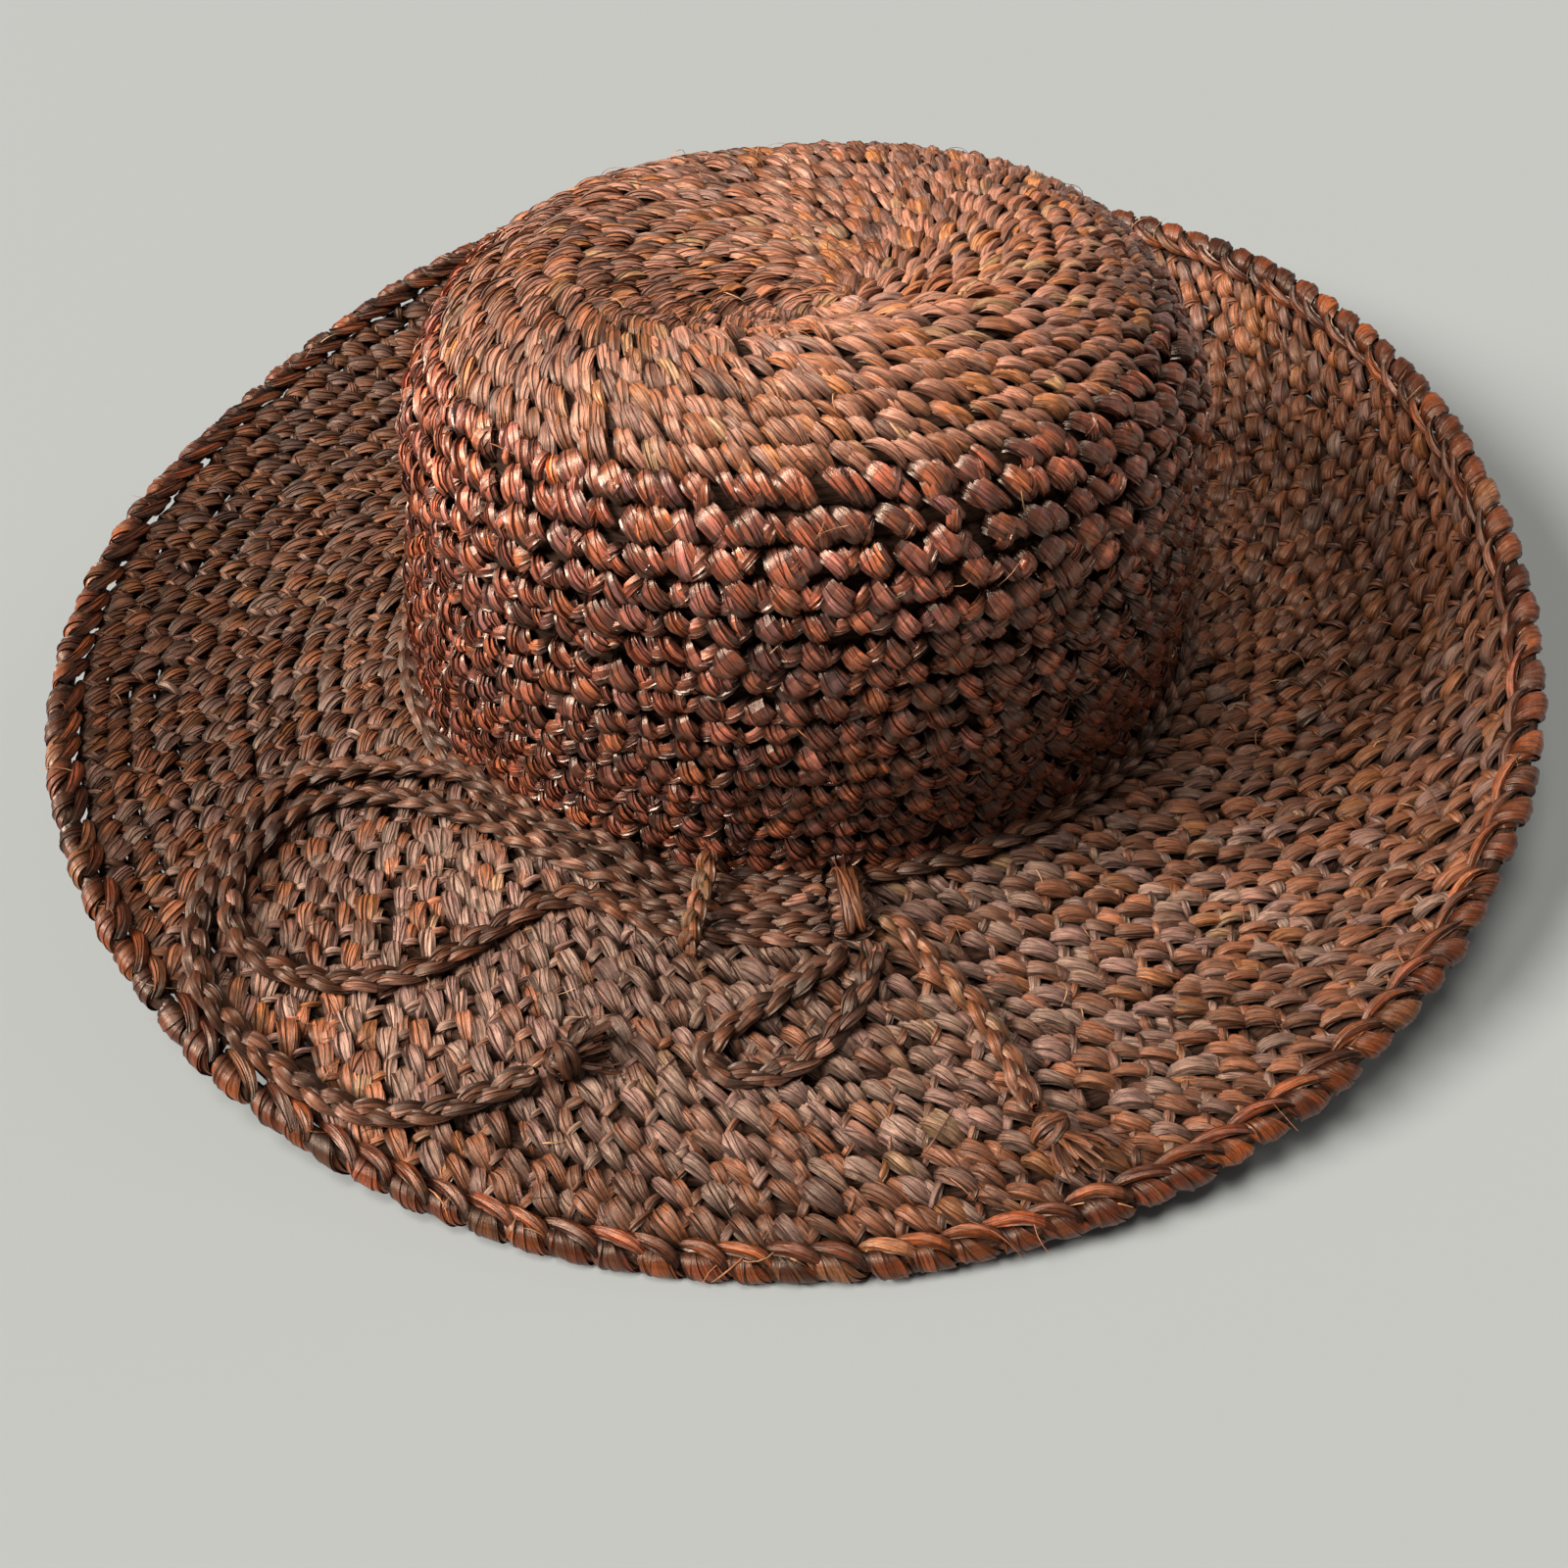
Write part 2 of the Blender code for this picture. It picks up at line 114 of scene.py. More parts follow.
LEFT_LOOP = (
    (-88.2, 12.8), (-92, 12.7), (-96, 12.6), (-100, 12.5), (-104, 12.5), (-108, 12.4),
    (-111, 11.8), (-114, 9.6), (-117, 8.2), (-121, 7.9), (-131, 7.9), (-136, 8.6),
    (-140, 10.5), (-144, 13.6), (-147.5, 18), (-150.5, 24), (-152.3, 32), (-152.3, 42),
    (-150.4, 52), (-148, 60), (-144.5, 66.5), (-141, 69), (-138, 68.3), (-135.5, 65.3),
    (-132.5, 60), (-129.8, 53), (-127.8, 46), (-126.1, 37), (-124.6, 28), (-122.8, 20.8),
    (-119.5, 16.0), (-115, 15.2), (-111, 16.7), (-108, 17.3), (-104, 17.4), (-100, 17.5),
    (-96, 17.6), (-92, 17.7), (-88.2, 17.7),
)
RIGHT_LOOP = (
    (-86.9, 21.4), (-87.9, 23.6), (-89.4, 25.5), (-92.4, 29.5), (-95.4, 34.5), (-98.4, 40),
    (-100.1, 45), (-99.9, 49), (-97.7, 51.2), (-94.6, 50.5), (-92, 48), (-89.6, 43.5),
    (-87, 36.5), (-85, 29.5), (-84.1, 24), (-84.0, 20.3),
)
RIGHT_TAIL = (
    (-82.0, 14.8), (-80.4, 16.6), (-78.9, 20.8), (-77.6, 28), (-76, 35), (-75, 42),
    (-74.4, 50), (-74.2, 58), (-74.3, 64, 1.2), (-74.4, 67.5, 2.4),
)
LEFT_KNOT_ENDS = ((-112.9, 57.9), (-108.4, 45.5))
RIGHT_KNOT_ENDS = ((-74.4, 68.9), (-72.6, 83.5))
END_KNOT_RADIUS = 4.8 * MM
BOW_KNOT_AT = (-85.5, 10.3)
BOW_KNOT_SIZE = (9.0 * MM, 18.2 * MM, 8.6 * MM)
BOW_RUNS = (-6.6, -2.2, 2.4, 6.6)
BOW_RUN_POINTS = (-4.2, -2.0, 0.0, 2.0, 4.2)
BOW_WRAPS = ((-1.3, 1.4, 0.90), (0.2, -1.8, 0.97), (1.5, 1.2, 0.92))
END_KNOT_WIND = 3.3 * MM
END_KNOT_RINGS = ((0.2, 0.5, 1.0), (1.1, -0.6, 1.12), (2.0, 0.7, 0.92),
                  (2.7, -0.3, 1.14), (0.7, 1.3, 0.9), (1.6, -1.1, 1.04))
RING_STEPS = 26
TASSEL_RIBBONS = 34
TASSEL_STEPS = 12
TASSEL_LENGTH = (6.0, 11.5)
FRONT_KEEPER_ANGLE = -104
FRONT_KEEPER = ((0.9, 9.9), (4, 8.9), (8, 8.0), (12.5, 7.8), (17, 7.8), (20.6, 7.2),
                (23.1, 5.0), (23.9, 2.6))
BACK_KEEPER_ANGLE = 90
BACK_KEEPER = ((0.1, 9.0), (2.2, 8.2), (5, 7.7), (7.9, 6.3), (9.3, 4.3), (9.7, 2.6))

# View and light: where each light stands, its breadth in degrees and its W/m2
CAMERA_LENS = 36.1
CAMERA_AT = (0.0070, -0.2974, 0.3060)
CAMERA_TURN = (38.88, 2.74, -2.14)
FLOOR_HALF = 8.0
FLOOR_DROP = 0.0002
FLOOR_COLOUR = (0.29, 0.295, 0.285, 1)
BACKDROP_COLOUR = (0.60, 0.61, 0.59, 1)
GLOW_COLOUR = (0.80, 0.80, 0.80, 1)
GLOW_STRENGTH = 0.16
LIGHT_COLOUR = (1.0, 0.985, 0.96)
LIGHTS = (("window", (-2.68, -0.40, 2.10), 25, 6.1),
          ("ceiling", (-0.62, 0.12, 3.55), 22, 1.96),
          ("side_fill", (3.25, 1.75, 2.20), 30, 0.36))


# ---- surfaces

def around(values, angle):
    """Values at angles on a smooth closed curve through evenly spaced values."""
    values = np.asarray(values, float)
    count = len(values)
    position = (angle / TAU * count) % count
    i = np.floor(position).astype(int)
    f = position - i
    a, b, c, d = (values[(i + k) % count] for k in (-1, 0, 1, 2))
    return 0.5 * (2 * b + (c - a) * f + (2 * a - 5 * b + 4 * c - d) * f ** 2
                  + (3 * b - a - 3 * c + d) * f ** 3)


def distances(line):
    """How far along a line each of its points is."""
    return np.concatenate([[0], np.cumsum(np.linalg.norm(np.diff(line, axis=0), axis=1))])


def unit(vectors):
    """Vectors in the same directions, each of length 1."""
    return vectors / np.linalg.norm(vectors, axis=-1, keepdims=True)


def turn_x(points, angle):
    """Points turned about the X axis."""
    c, s = math.cos(angle), math.sin(angle)
    turned = np.array(points, float)
    y, z = points[..., 1], points[..., 2]
    turned[..., 1] = y * c - z * s
    turned[..., 2] = y * s + z * c
    return turned


def on_table(points):
    """From the hat's own frame to the frame of the table it lies on."""
    return turn_x(points, LEAN) + np.array([MIDDLE[0], MIDDLE[1], FOOT_HEIGHT])


def crown_points(angle, stage):
    """Outer surface of the crown: stage 0 to 1 wall, 1 to 2 shoulder, 2 to 3 tip."""
    c, s = np.cos(angle), np.sin(angle)
    n = SHOULDER_SQUARENESS
    square = (np.abs(c) ** n + np.abs(s) ** n) ** (-1 / n)
    top = CROWN_HEIGHT + CROWN_HEIGHT_SLOPE * s
    wall = np.minimum(stage, 1.0)
    lean = 1 - (1 - wall) ** WALL_LEAN_POWER
    shift = wall * wall * (3 - 2 * wall)
    bulge = WALL_BULGE * np.sin(math.pi * wall) ** 2
    turn = np.clip(stage - 1, 0, 1) * math.pi / 2
    inset = SHOULDER_ROUNDING * (1 - np.cos(turn))
    half_x = FOOT_HALF_WIDTH + (SHOULDER_HALF_WIDTH - FOOT_HALF_WIDTH) * lean + bulge - inset
    half_y = FOOT_HALF_DEPTH + (SHOULDER_HALF_DEPTH - FOOT_HALF_DEPTH) * lean + bulge - inset
    factor = 1 + (square - 1) * lean
    rim = np.stack([SHOULDER_SHIFT[0] * shift + half_x * c * factor,
                    SHOULDER_SHIFT[1] * shift + half_y * s * factor,
                    (top - SHOULDER_ROUNDING) * wall + SHOULDER_ROUNDING * np.sin(turn)], -1)
    out = np.clip(3 - stage, 0, 1)[..., None]
    centre = np.array(TIP_CENTRE)
    flat = centre + (rim - centre) * out
    flat[..., 2] = centre[2] + (rim[..., 2] - centre[2]) * out[..., 0] ** TIP_HOLLOW_POWER
    return np.where(stage[..., None] > 2, flat, rim)


class Surface:
    """Points and outward normals of a sheet on a grid: angle by place along the profile."""

    def __init__(self, points, low, high):
        self.points = on_table(points)
        self.low, self.high = low, high
        by_angle = np.gradient(self.points, axis=0)
        wrapped = self.points[1] - self.points[-2]
        by_angle[0] = by_angle[-1] = wrapped / 2
        by_place = np.gradient(self.points, axis=1)
        self.stretch = np.linalg.norm(by_angle, axis=2) * (len(points) - 1) / TAU
        normal = np.cross(by_angle, by_place)
        self.normals = normal / np.maximum(np.linalg.norm(normal, axis=2), 1e-12)[..., None]

    def look(self, grid, angle, place):
        """Values of a grid between its points."""
        rows, columns = grid.shape[:2]
        x = (angle / TAU % 1.0) * (rows - 1)
        y = np.clip((place - self.low) / (self.high - self.low), 0, 1) * (columns - 1)
        i = np.clip(x.astype(int), 0, rows - 2)
        j = np.clip(y.astype(int), 0, columns - 2)
        f, g = x - i, y - j
        if grid.ndim == 3:
            f, g = f[..., None], g[..., None]
        return ((grid[i, j] * (1 - g) + grid[i, j + 1] * g) * (1 - f)
                + (grid[i + 1, j] * (1 - g) + grid[i + 1, j + 1] * g) * f)

    def point(self, angle, place, height):
        normal = unit(self.look(self.normals, angle, place))
        return self.look(self.points, angle, place) + normal * height[..., None]

    def radius(self, angle, place):
        return self.look(self.stretch, angle, place)


def brim_surface():
    """The brim by mm out from the crown's foot: its slope turns up along each profile."""
    angle = np.linspace(0, TAU, SURFACE_ANGLES)[:, None]
    foot = FOOT_HALF_WIDTH * FOOT_HALF_DEPTH / np.hypot(
        FOOT_HALF_DEPTH * np.cos(angle), FOOT_HALF_WIDTH * np.sin(angle))
    step = (BRIM_TO - BRIM_FROM) / BRIM_STEPS
    place = BRIM_FROM + step * np.arange(BRIM_STEPS + 1)
    middle = (place[1:] + place[:-1]) / 2
    share = np.clip(middle / (BRIM_REACH + EDGING_DIAMETER), 0, None) ** BRIM_CURL
    inner = np.radians(around(BRIM_INNER_SLOPES, angle))
    edge = np.radians(around(BRIM_EDGE_SLOPES, angle))
    slope = np.where(middle < 0, 0.0, inner + (edge - inner) * share)
    run = np.concatenate([np.zeros_like(angle), np.cumsum(np.cos(slope) * step, axis=1)], 1)
    rise = np.concatenate([np.zeros_like(angle), np.cumsum(np.sin(slope) * step, axis=1)], 1)
    zero = int(round(-BRIM_FROM / step))
    radius = foot + run - run[:, zero:zero + 1]
    height = rise - rise[:, zero:zero + 1]
    points = np.stack([radius * np.cos(angle), radius * np.sin(angle), height], -1)
    surface = Surface(points, BRIM_FROM, BRIM_TO)
    surface.normals *= -1
    return surface


def crown_surface():
    """The crown by rounds: 0 at its foot, WALL_ROUNDS at the tip's rim, all at the centre."""
    angles = np.linspace(0, TAU, SURFACE_ANGLES)
    columns = COLUMNS_PER_ROUND * ALL_ROUNDS + 1
    points = np.zeros((len(angles), columns, 3))
    heights = np.zeros(len(angles))
    for i, angle in enumerate(angles):
        stages = np.linspace(0, PROFILE_STAGES, PROFILE_STEPS + 1)
        line = crown_points(np.full_like(stages, angle), stages)
        along = distances(line)
        rim = along[round(RIM_STAGE / PROFILE_STAGES * PROFILE_STEPS)]
        rounds = np.where(along <= rim, along / rim * WALL_ROUNDS,
                          WALL_ROUNDS + (along - rim) / (along[-1] - rim) * TIP_ROUNDS)
        wanted = np.linspace(0, ALL_ROUNDS, columns)
        for k in range(3):
            points[i, :, k] = np.interp(wanted, rounds, line[:, k])
        heights[i] = rim / WALL_ROUNDS
    surface = Surface(points, 0, ALL_ROUNDS)
    surface.round_height = float(heights.mean())
    surface.normals[:, -2:] = turn_x(np.array([0.0, 0.0, 1.0]), LEAN)
    return surface


BRIM = brim_surface()
CROWN = crown_surface()


def brim_place(angle, place, across, along, height):
    """World points of (across, along, height) offsets round places on the brim."""
    points = BRIM.point(angle + across / BRIM.radius(angle, place), place + along, height)
    points[..., 2] = np.maximum(points[..., 2], 0.0)
    return points


def wall_place(angle, place, across, along, height):
    """The same on the crown's side, where places are counted in rounds."""
    rounds = along / CROWN.round_height
    return CROWN.point(angle + across / CROWN.radius(angle, place), place - rounds, height)


def tip_place(angle, place, across, along, height):
    """The same on the crown's tip, which has room for a stitch near its centre."""
    out = (ALL_ROUNDS - place) * TIP_ROUND_HEIGHT + along
    reach = np.hypot(out, across) / TIP_ROUND_HEIGHT
    return CROWN.point(angle + np.arctan2(across, out), ALL_ROUNDS - reach, height)


# ---- colours

RUST = np.array([0.245, 0.078, 0.032])
BROWN = np.array([0.120, 0.046, 0.025])
DARK = np.array([0.050, 0.020, 0.012])
MAUVE = np.array([0.175, 0.088, 0.066])
# The inner strand's near-black colour is painted shade for the gaps between stitches.
CORE_GAP_SHADE = np.array([0.028, 0.012, 0.007])
TAN = np.array([0.400, 0.215, 0.100])
ORANGE = np.array([0.370, 0.125, 0.036])
GREY = np.array([0.185, 0.105, 0.072])
PINK = np.array([0.330, 0.140, 0.086])
# Dyes in each part of the hat, with how often each of them is picked
CORD_DYES = ([BROWN * 0.6, DARK * 0.8, RUST * 0.45, MAUVE * 0.35, PINK * 0.8], [5, 4, 4, 1.5, 0.8])
PALE_DYES = ([RUST * 0.65, TAN * 0.45, BROWN, ORANGE * 0.45], [5, 1, 4, 2])
KNOT_DYES = ([ORANGE * 0.4, BROWN, RUST * 0.6], [2, 4, 4])
EDGING_DYES = ([ORANGE, RUST, TAN, BROWN], [4, 5, 1, 2])
TIP_DYES = ([PINK, RUST, MAUVE, TAN, ORANGE], [6, 4, 1.5, 0.6, 1])
WALL_DYES = ([RUST, BROWN, MAUVE * 0.7, ORANGE * 0.8, PINK], [6, 3.5, 1.2, 1.4, 0.5])
RUST_DYES = ([RUST * 0.85, BROWN, MAUVE * 0.9, ORANGE * 0.6], [6, 4, 1.2, 1.3])
GREY_DYES = ([MAUVE, GREY, BROWN, RUST * 0.8, TAN * 0.6], [4.5, 4.5, 3, 1.5, 0.4])
BRIM_HAIRS = ([TAN, RUST, BROWN], [1, 1, 1])
CROWN_HAIRS = ([TAN, RUST, ORANGE], [1, 1, 1])
# Tints laid over those dyes
GREY_TINT = 0.74
RUST_TINT = 0.64
TIP_TINT = 0.92
WALL_TINT = np.array([1.04, 0.84, 1.00])
EDGING_TINT = np.array([0.345, 0.235, 0.20])


def strand_colours(rng, shape, dyes, spread):
    """A colour for each ribbon, picked from some dyes and made lighter or darker."""
    palette, chances = dyes
    picked = rng.choice(len(palette), size=shape, p=np.array(chances) / sum(chances))
    colour = np.array(palette)[picked]
    light = np.exp(rng.normal(0, spread, size=shape))[..., None]
    return colour * light


def blended(rng, count, ribbons, dyes, own_share=0.7, spread=0.24):
    """Ribbon colours that keep near the colour of the strand they belong to."""
    own = strand_colours(rng, (count, 1), dyes, spread)
    mix = strand_colours(rng, (count, ribbons), dyes, spread)
    return own * own_share + mix * (1 - own_share)


# ---- meshes

TOP_RIBBONS = 7
UNDER_RIBBONS = 3
RIBBONS = TOP_RIBBONS + UNDER_RIBBONS
TOP_SHARE = 0.6
RIBBON_EDGE = 0.88
RIBBON_WANDER = 0.22
RIBBON_SWELL = 0.08
# Painted shade on the steps between ribbons: how dark the grooves are against the ribbon.
GROOVE_PAINTED_SHADE = 0.34
PLEAT = 0.26
JITTER = 0.09
STITCH_STEPS = 9
SHARP_EDGE = 32
CORE_STEP = 3.0 * MM
CORE_SIDES = 8
HAIR_REACH = (2, 6.5)
HAIR_WIDTH = (0.06, 0.20)
HAIR_DEPTH = 0.08
# Colour along a stitch: painted shade where it dives in under its neighbours, and painted
# highlight on its top
WALL_PAINTED_SHADE = (0.05, 0.30, 1.00, 1.75, 1.75, 1.00, 0.30, 0.05)
BRIM_PAINTED_SHADE = (0.40, 0.85, 1.15, 1.22, 1.18, 1.02, 0.72, 0.35)
BEAD_PAINTED_SHADE = (0.25, 0.70, 1.10, 1.30, 1.30, 1.10, 0.70, 0.25)


def new_item(name, data):
    """An object in the scene for a mesh, a light or a camera."""
    item = bpy.data.objects.new(name, data)
    bpy.context.scene.collection.objects.link(item)
    return item


class Heap:
    """Gathers quads, their colours and the direction of their fibres for one mesh."""

    def __init__(self):
        self.points, self.quads, self.colours, self.grain = [], [], [], []
        self.count = 0

    def add(self, rings, faces, grain):
        """rings: (tubes, along, around, 3). faces: colours, (tubes, along - 1, around, 3)."""
        tubes, along, sides = rings.shape[:3]
        index = np.arange(tubes * along * sides).reshape(tubes, along, sides) + self.count
        a = index[:, :-1]
        b = index[:, 1:]
        quads = np.stack([a, np.roll(a, -1, 2), np.roll(b, -1, 2), b], -1)
        self.quads.append(quads.reshape(-1, 4))
        self.points.append(rings.reshape(-1, 3))
        self.grain.append(grain.reshape(-1, 3))
        self.colours.append(faces.reshape(-1, 3))
        self.count += tubes * along * sides

    def add_tubes(self, rings, colours, grain, shade=None):
        """colours: (tubes, around, 3). shade: painted shade and highlight along a tube, of any
        length.
        """
        tubes, along, sides = rings.shape[:3]
        faces = np.broadcast_to(colours[:, None], (tubes, along - 1, sides, 3))
        if shade is not None:
            steps = np.linspace(0, 1, along - 1)
            shade = np.interp(steps, np.linspace(0, 1, len(shade)), shade)
            faces = faces * shade[None, :, None, None]
        self.add(rings, faces, grain)

    def build(self, name, material):
        points = np.concatenate(self.points).astype(np.float32)
        quads = np.concatenate(self.quads).astype(np.int32)
        colours = np.concatenate(self.colours)
        colours = np.concatenate([colours, np.ones((len(colours), 1))], 1).astype(np.float32)
        mesh = bpy.data.meshes.new(name)
        mesh.vertices.add(len(points))
        mesh.vertices.foreach_set("co", points.ravel())
        mesh.loops.add(quads.size)
        mesh.loops.foreach_set("vertex_index", quads.ravel())
        mesh.polygons.add(len(quads))
        mesh.polygons.foreach_set("loop_start", np.arange(0, quads.size, 4, dtype=np.int32))
        mesh.update(calc_edges=True)
        mesh.shade_smooth()
        mesh.set_sharp_from_angle(angle=math.radians(SHARP_EDGE))
        tint = mesh.attributes.new("strand_colour", "FLOAT_COLOR", "FACE")
        tint.data.foreach_set("color", colours.ravel())
        grain = mesh.attributes.new("grain", "FLOAT_VECTOR", "POINT")
        grain.data.foreach_set("vector", np.concatenate(self.grain).astype(np.float32).ravel())
        mesh.materials.append(material)
        return new_item(name, mesh)


def section(rng, tubes, top, under, pleat):
    """Where the flat ribbons round a bundle start and end, and how far out they lie."""
    ribbons = top + under
    share = np.concatenate([np.full(top, TOP_SHARE / top),
                            np.full(under, (1 - TOP_SHARE) / under)])
    widths = share * rng.uniform(0.6, 1.4, (tubes, ribbons))
    widths /= widths.sum(1, keepdims=True)
    starts = np.cumsum(widths, 1) - widths - (TOP_SHARE - 0.5) / 2
    turn = np.stack([starts, starts + widths * RIBBON_EDGE], -1) * TAU
    high = rng.uniform(0.93, 1.07, (tubes, ribbons))
    low = high * (1 - pleat * rng.uniform(0.5, 1.5, (tubes, ribbons)))
    return turn, np.stack([high, low], -1)


def crumpled(rng, turn, radius, v):
    """Ribbon edges that wander and swell along the bundle."""
    tubes, ribbons = turn.shape[:2]

    def waves():
        rate = rng.uniform(0.3, 1.2, (tubes, 1, ribbons))
        phase = rng.uniform(0, 1, (tubes, 1, ribbons))
        return np.sin(TAU * (rate * v[None, :, None] + phase))

    edge = waves() * RIBBON_WANDER
    both = np.stack([edge, np.roll(edge, -1, 2)], -1)
    puff = 1 + waves()[..., None] * RIBBON_SWELL
    shape = (tubes, len(v), ribbons * 2)
    return ((turn[:, None] + both).reshape(shape), (radius[:, None] * puff).reshape(shape))


def curves(route):
    """Smooth lines from the four points of each route."""
    v = np.linspace(0, 1, STITCH_STEPS)
    basis = np.stack([(1 - v) ** 3, 3 * v * (1 - v) ** 2, 3 * v * v * (1 - v), v ** 3], 1)
    return np.einsum("kc,mcd->mkd", basis, route)


def bundles(rng, line, width, depth, twist, ends, pleat=0.2, side=None, blunt=0.55,
            top=TOP_RIBBONS, under=UNDER_RIBBONS, narrow=0.0):
    """Tapered bundles of ribbons along lines of (across, along, height) offsets.

    line: (tubes, along, 3). width, depth, twist: (tubes,). ends: size at the two ends.
    """
    tubes, along = line.shape[:2]
    v = np.linspace(0, 1, along)
    slope = unit(np.gradient(line, axis=1))
    if side is None:
        span = line[:, -1] - line[:, 0]
        side = np.stack([span[:, 1], -span[:, 0], np.zeros(tubes)], -1)[:, None]
        side /= np.maximum(np.linalg.norm(side, axis=2, keepdims=True), 1e-9)
    upright = np.cross(np.broadcast_to(side, slope.shape), slope)
    full = np.sin(math.pi * np.clip(v * 0.98 + 0.01, 0, 1)) ** blunt
    taper = (ends[0] * (1 - v) + ends[1] * v) * (1 - full) + full
    taper = taper * (1 + narrow * (0.5 - v))
    turn, radius = section(rng, tubes, top, under, pleat)
    base = turn.reshape(tubes, 1, -1)
    angle, ring = crumpled(rng, turn, radius, v)
    angle = angle + (twist[:, None] * (v - 0.5))[..., None]
    ring = ring * taper[None, :, None]
    a = np.cos(angle) * ring * width[:, None, None]
    b = np.sin(angle) * ring * depth[:, None, None]
    rings = line[:, :, None] + side[:, :, None] * a[..., None] + upright[:, :, None] * b[..., None]
    length = np.linalg.norm(np.diff(line, axis=1), axis=2).sum(1)
    seed = rng.uniform(0, 400, (tubes, 1, 1))
    base = np.broadcast_to(base, angle.shape)
    grain = np.stack([np.cos(base) * width[:, None, None] / MM + seed,
                      np.sin(base) * depth[:, None, None] / MM + seed * 0.37,
                      (v[None, :, None] * length[:, None, None] / MM) + 0 * base], -1)
    return rings, grain


def by_ribbon(colours):
    """Colours of the ribbons and, on the steps between them, a painted shade that darkens the
    grooves, for each side of a tube.
    """
    painted_groove_shade = colours * GROOVE_PAINTED_SHADE
    tubes, ribbons = colours.shape[:2]
    return np.stack([colours, painted_groove_shade], 2).reshape(tubes, ribbons * 2, 3)


def leaf(shape, pitch, tall, rng, count):
    """Routes for one kind of strand in every stitch of a round."""
    route = np.array(shape, float)
    route = route * np.array([pitch, tall, MM])
    route = np.repeat(route[None], count, 0)
    shift = rng.normal(0, JITTER, (count, 1, 3)) * np.array([pitch, tall, 2.0 * MM])
    wobble = rng.normal(0, JITTER, (count, 4, 3)) * np.array([pitch, tall, 3.0 * MM])
    return route + shift + wobble


BRIM_WEDGE = ((-0.56, -0.48, -1.8), (-0.46, -0.54, 1.7), (0.16, 0.26, 1.6), (0.38, 0.58, -2.6))
BRIM_TUCK = ((-0.04, -0.44, -2.6), (0.08, -0.50, 1.1), (0.50, 0.30, 1.0), (0.72, 0.58, -2.8))
BRIM_LINK = ((0.26, 0.50, -2.4), (0.36, 0.46, 1.0), (0.52, -0.20, 1.2), (0.66, -0.40, -2.6))
WALL_LOBE = ((-0.38, -0.30, -3.4), (-0.52, -0.58, 3.1), (0.32, 0.56, 3.1), (0.14, 0.32, -3.4))
WALL_SIDE = ((0.10, -0.28, -3.2), (0.02, -0.54, 2.3), (0.56, 0.50, 2.2), (0.46, 0.30, -3.2))
WALL_LINK = ((-0.08, 0.24, -2.8), (0.10, 0.36, 2.3), (0.58, -0.24, 2.5), (0.84, -0.26, -3.0))
TIP_LEG = ((-0.90, -0.50, -2.2), (-0.68, -0.50, 0.4), (-0.34, 0.30, 0.5), (-0.08, 0.72, -2.4))
TIP_LEAF = ((-0.40, -0.56, -2.2), (-0.20, -0.54, 0.7), (0.30, 0.20, 0.8), (0.56, 0.60, -2.6))
TIP_FOLD = ((-0.34, -0.40, -2.2), (-0.18, -0.36, 0.7), (0.18, 0.46, 0.6), (0.40, 0.84, -2.6))


def mixed(a, b, share):
    return np.array(a) * (1 - share) + np.array(b) * share


def add_round(heap, rng, place_of, angle0, place, pitch, tall, count, kinds, colours, painted_shade,
              row=1.0):
    """One round of stitches: a bundle of each kind in every stitch."""
    angles = angle0 + TAU * (np.arange(count) + rng.normal(0, 0.05, count)) / count
    waves = rng.uniform(0, TAU, 3)
    drift = sum(0.05 * np.sin(n * angles + w) for n, w in zip((3, 7, 12), waves))
    places = place + drift * row
    for shape, width, depth, twist, top, under, narrow in kinds:
        line = curves(leaf(shape, pitch, tall, rng, count))
        wide = width * MM * rng.normal(1, 0.17, count).clip(0.65, 1.4)
        deep = depth * MM * rng.normal(1, 0.14, count).clip(0.7, 1.35)
        turns = rng.normal(twist, 0.4, count)
        rings, grain = bundles(rng, line, wide, deep, turns, (0.55, 0.35), PLEAT,
                               top=top, under=under, narrow=narrow)
        # The shade profile along each bundle is painted shade at its ends and painted highlight at
        # its top.
        put(heap, place_of, angles, places, rings, colours(rng, angles, top + under), grain,
            painted_shade)


def put(heap, place_of, angles, places, rings, colours, grain, shade=None):
    """Adds bundles given in stitch offsets to the heap where their stitches are."""
    shape = rings.shape[:3]
    angle = np.broadcast_to(angles[:, None, None], shape)
    spot = np.broadcast_to(places[:, None, None], shape)
    world = place_of(angle, spot, rings[..., 0], rings[..., 1], rings[..., 2])
    heap.add_tubes(world, by_ribbon(colours), grain, shade)


def add_core(heap, rng, place_of, place, tall, radius, depth, height=-2.3):
    """The inner strand that each round is worked over, coloured near black as painted shade for
    the gaps between stitches.
    """
    count = max(24, int(TAU * radius / CORE_STEP))
    v = np.linspace(0, 1, count)
    turn = np.linspace(0, TAU, CORE_SIDES, endpoint=False)
    angle = np.broadcast_to((TAU * v)[None, :, None], (1, count, CORE_SIDES))
    wave = 1 + 0.12 * np.sin(angle * 41 + turn)
    along = tall * np.cos(turn) * wave
    lift = depth * np.sin(turn) * wave + height * MM
    world = place_of(angle, np.full(angle.shape, place), np.zeros(angle.shape), along, lift)
    shade = strand_colours(rng, (1, CORE_SIDES), ([CORE_GAP_SHADE], [1]), 0.1)
    grain = np.stack([np.broadcast_to(np.cos(turn) * 2, angle.shape),
                      np.broadcast_to(np.sin(turn) * 2, angle.shape),
                      angle * radius / MM], -1)
    heap.add_tubes(world, shade, grain)


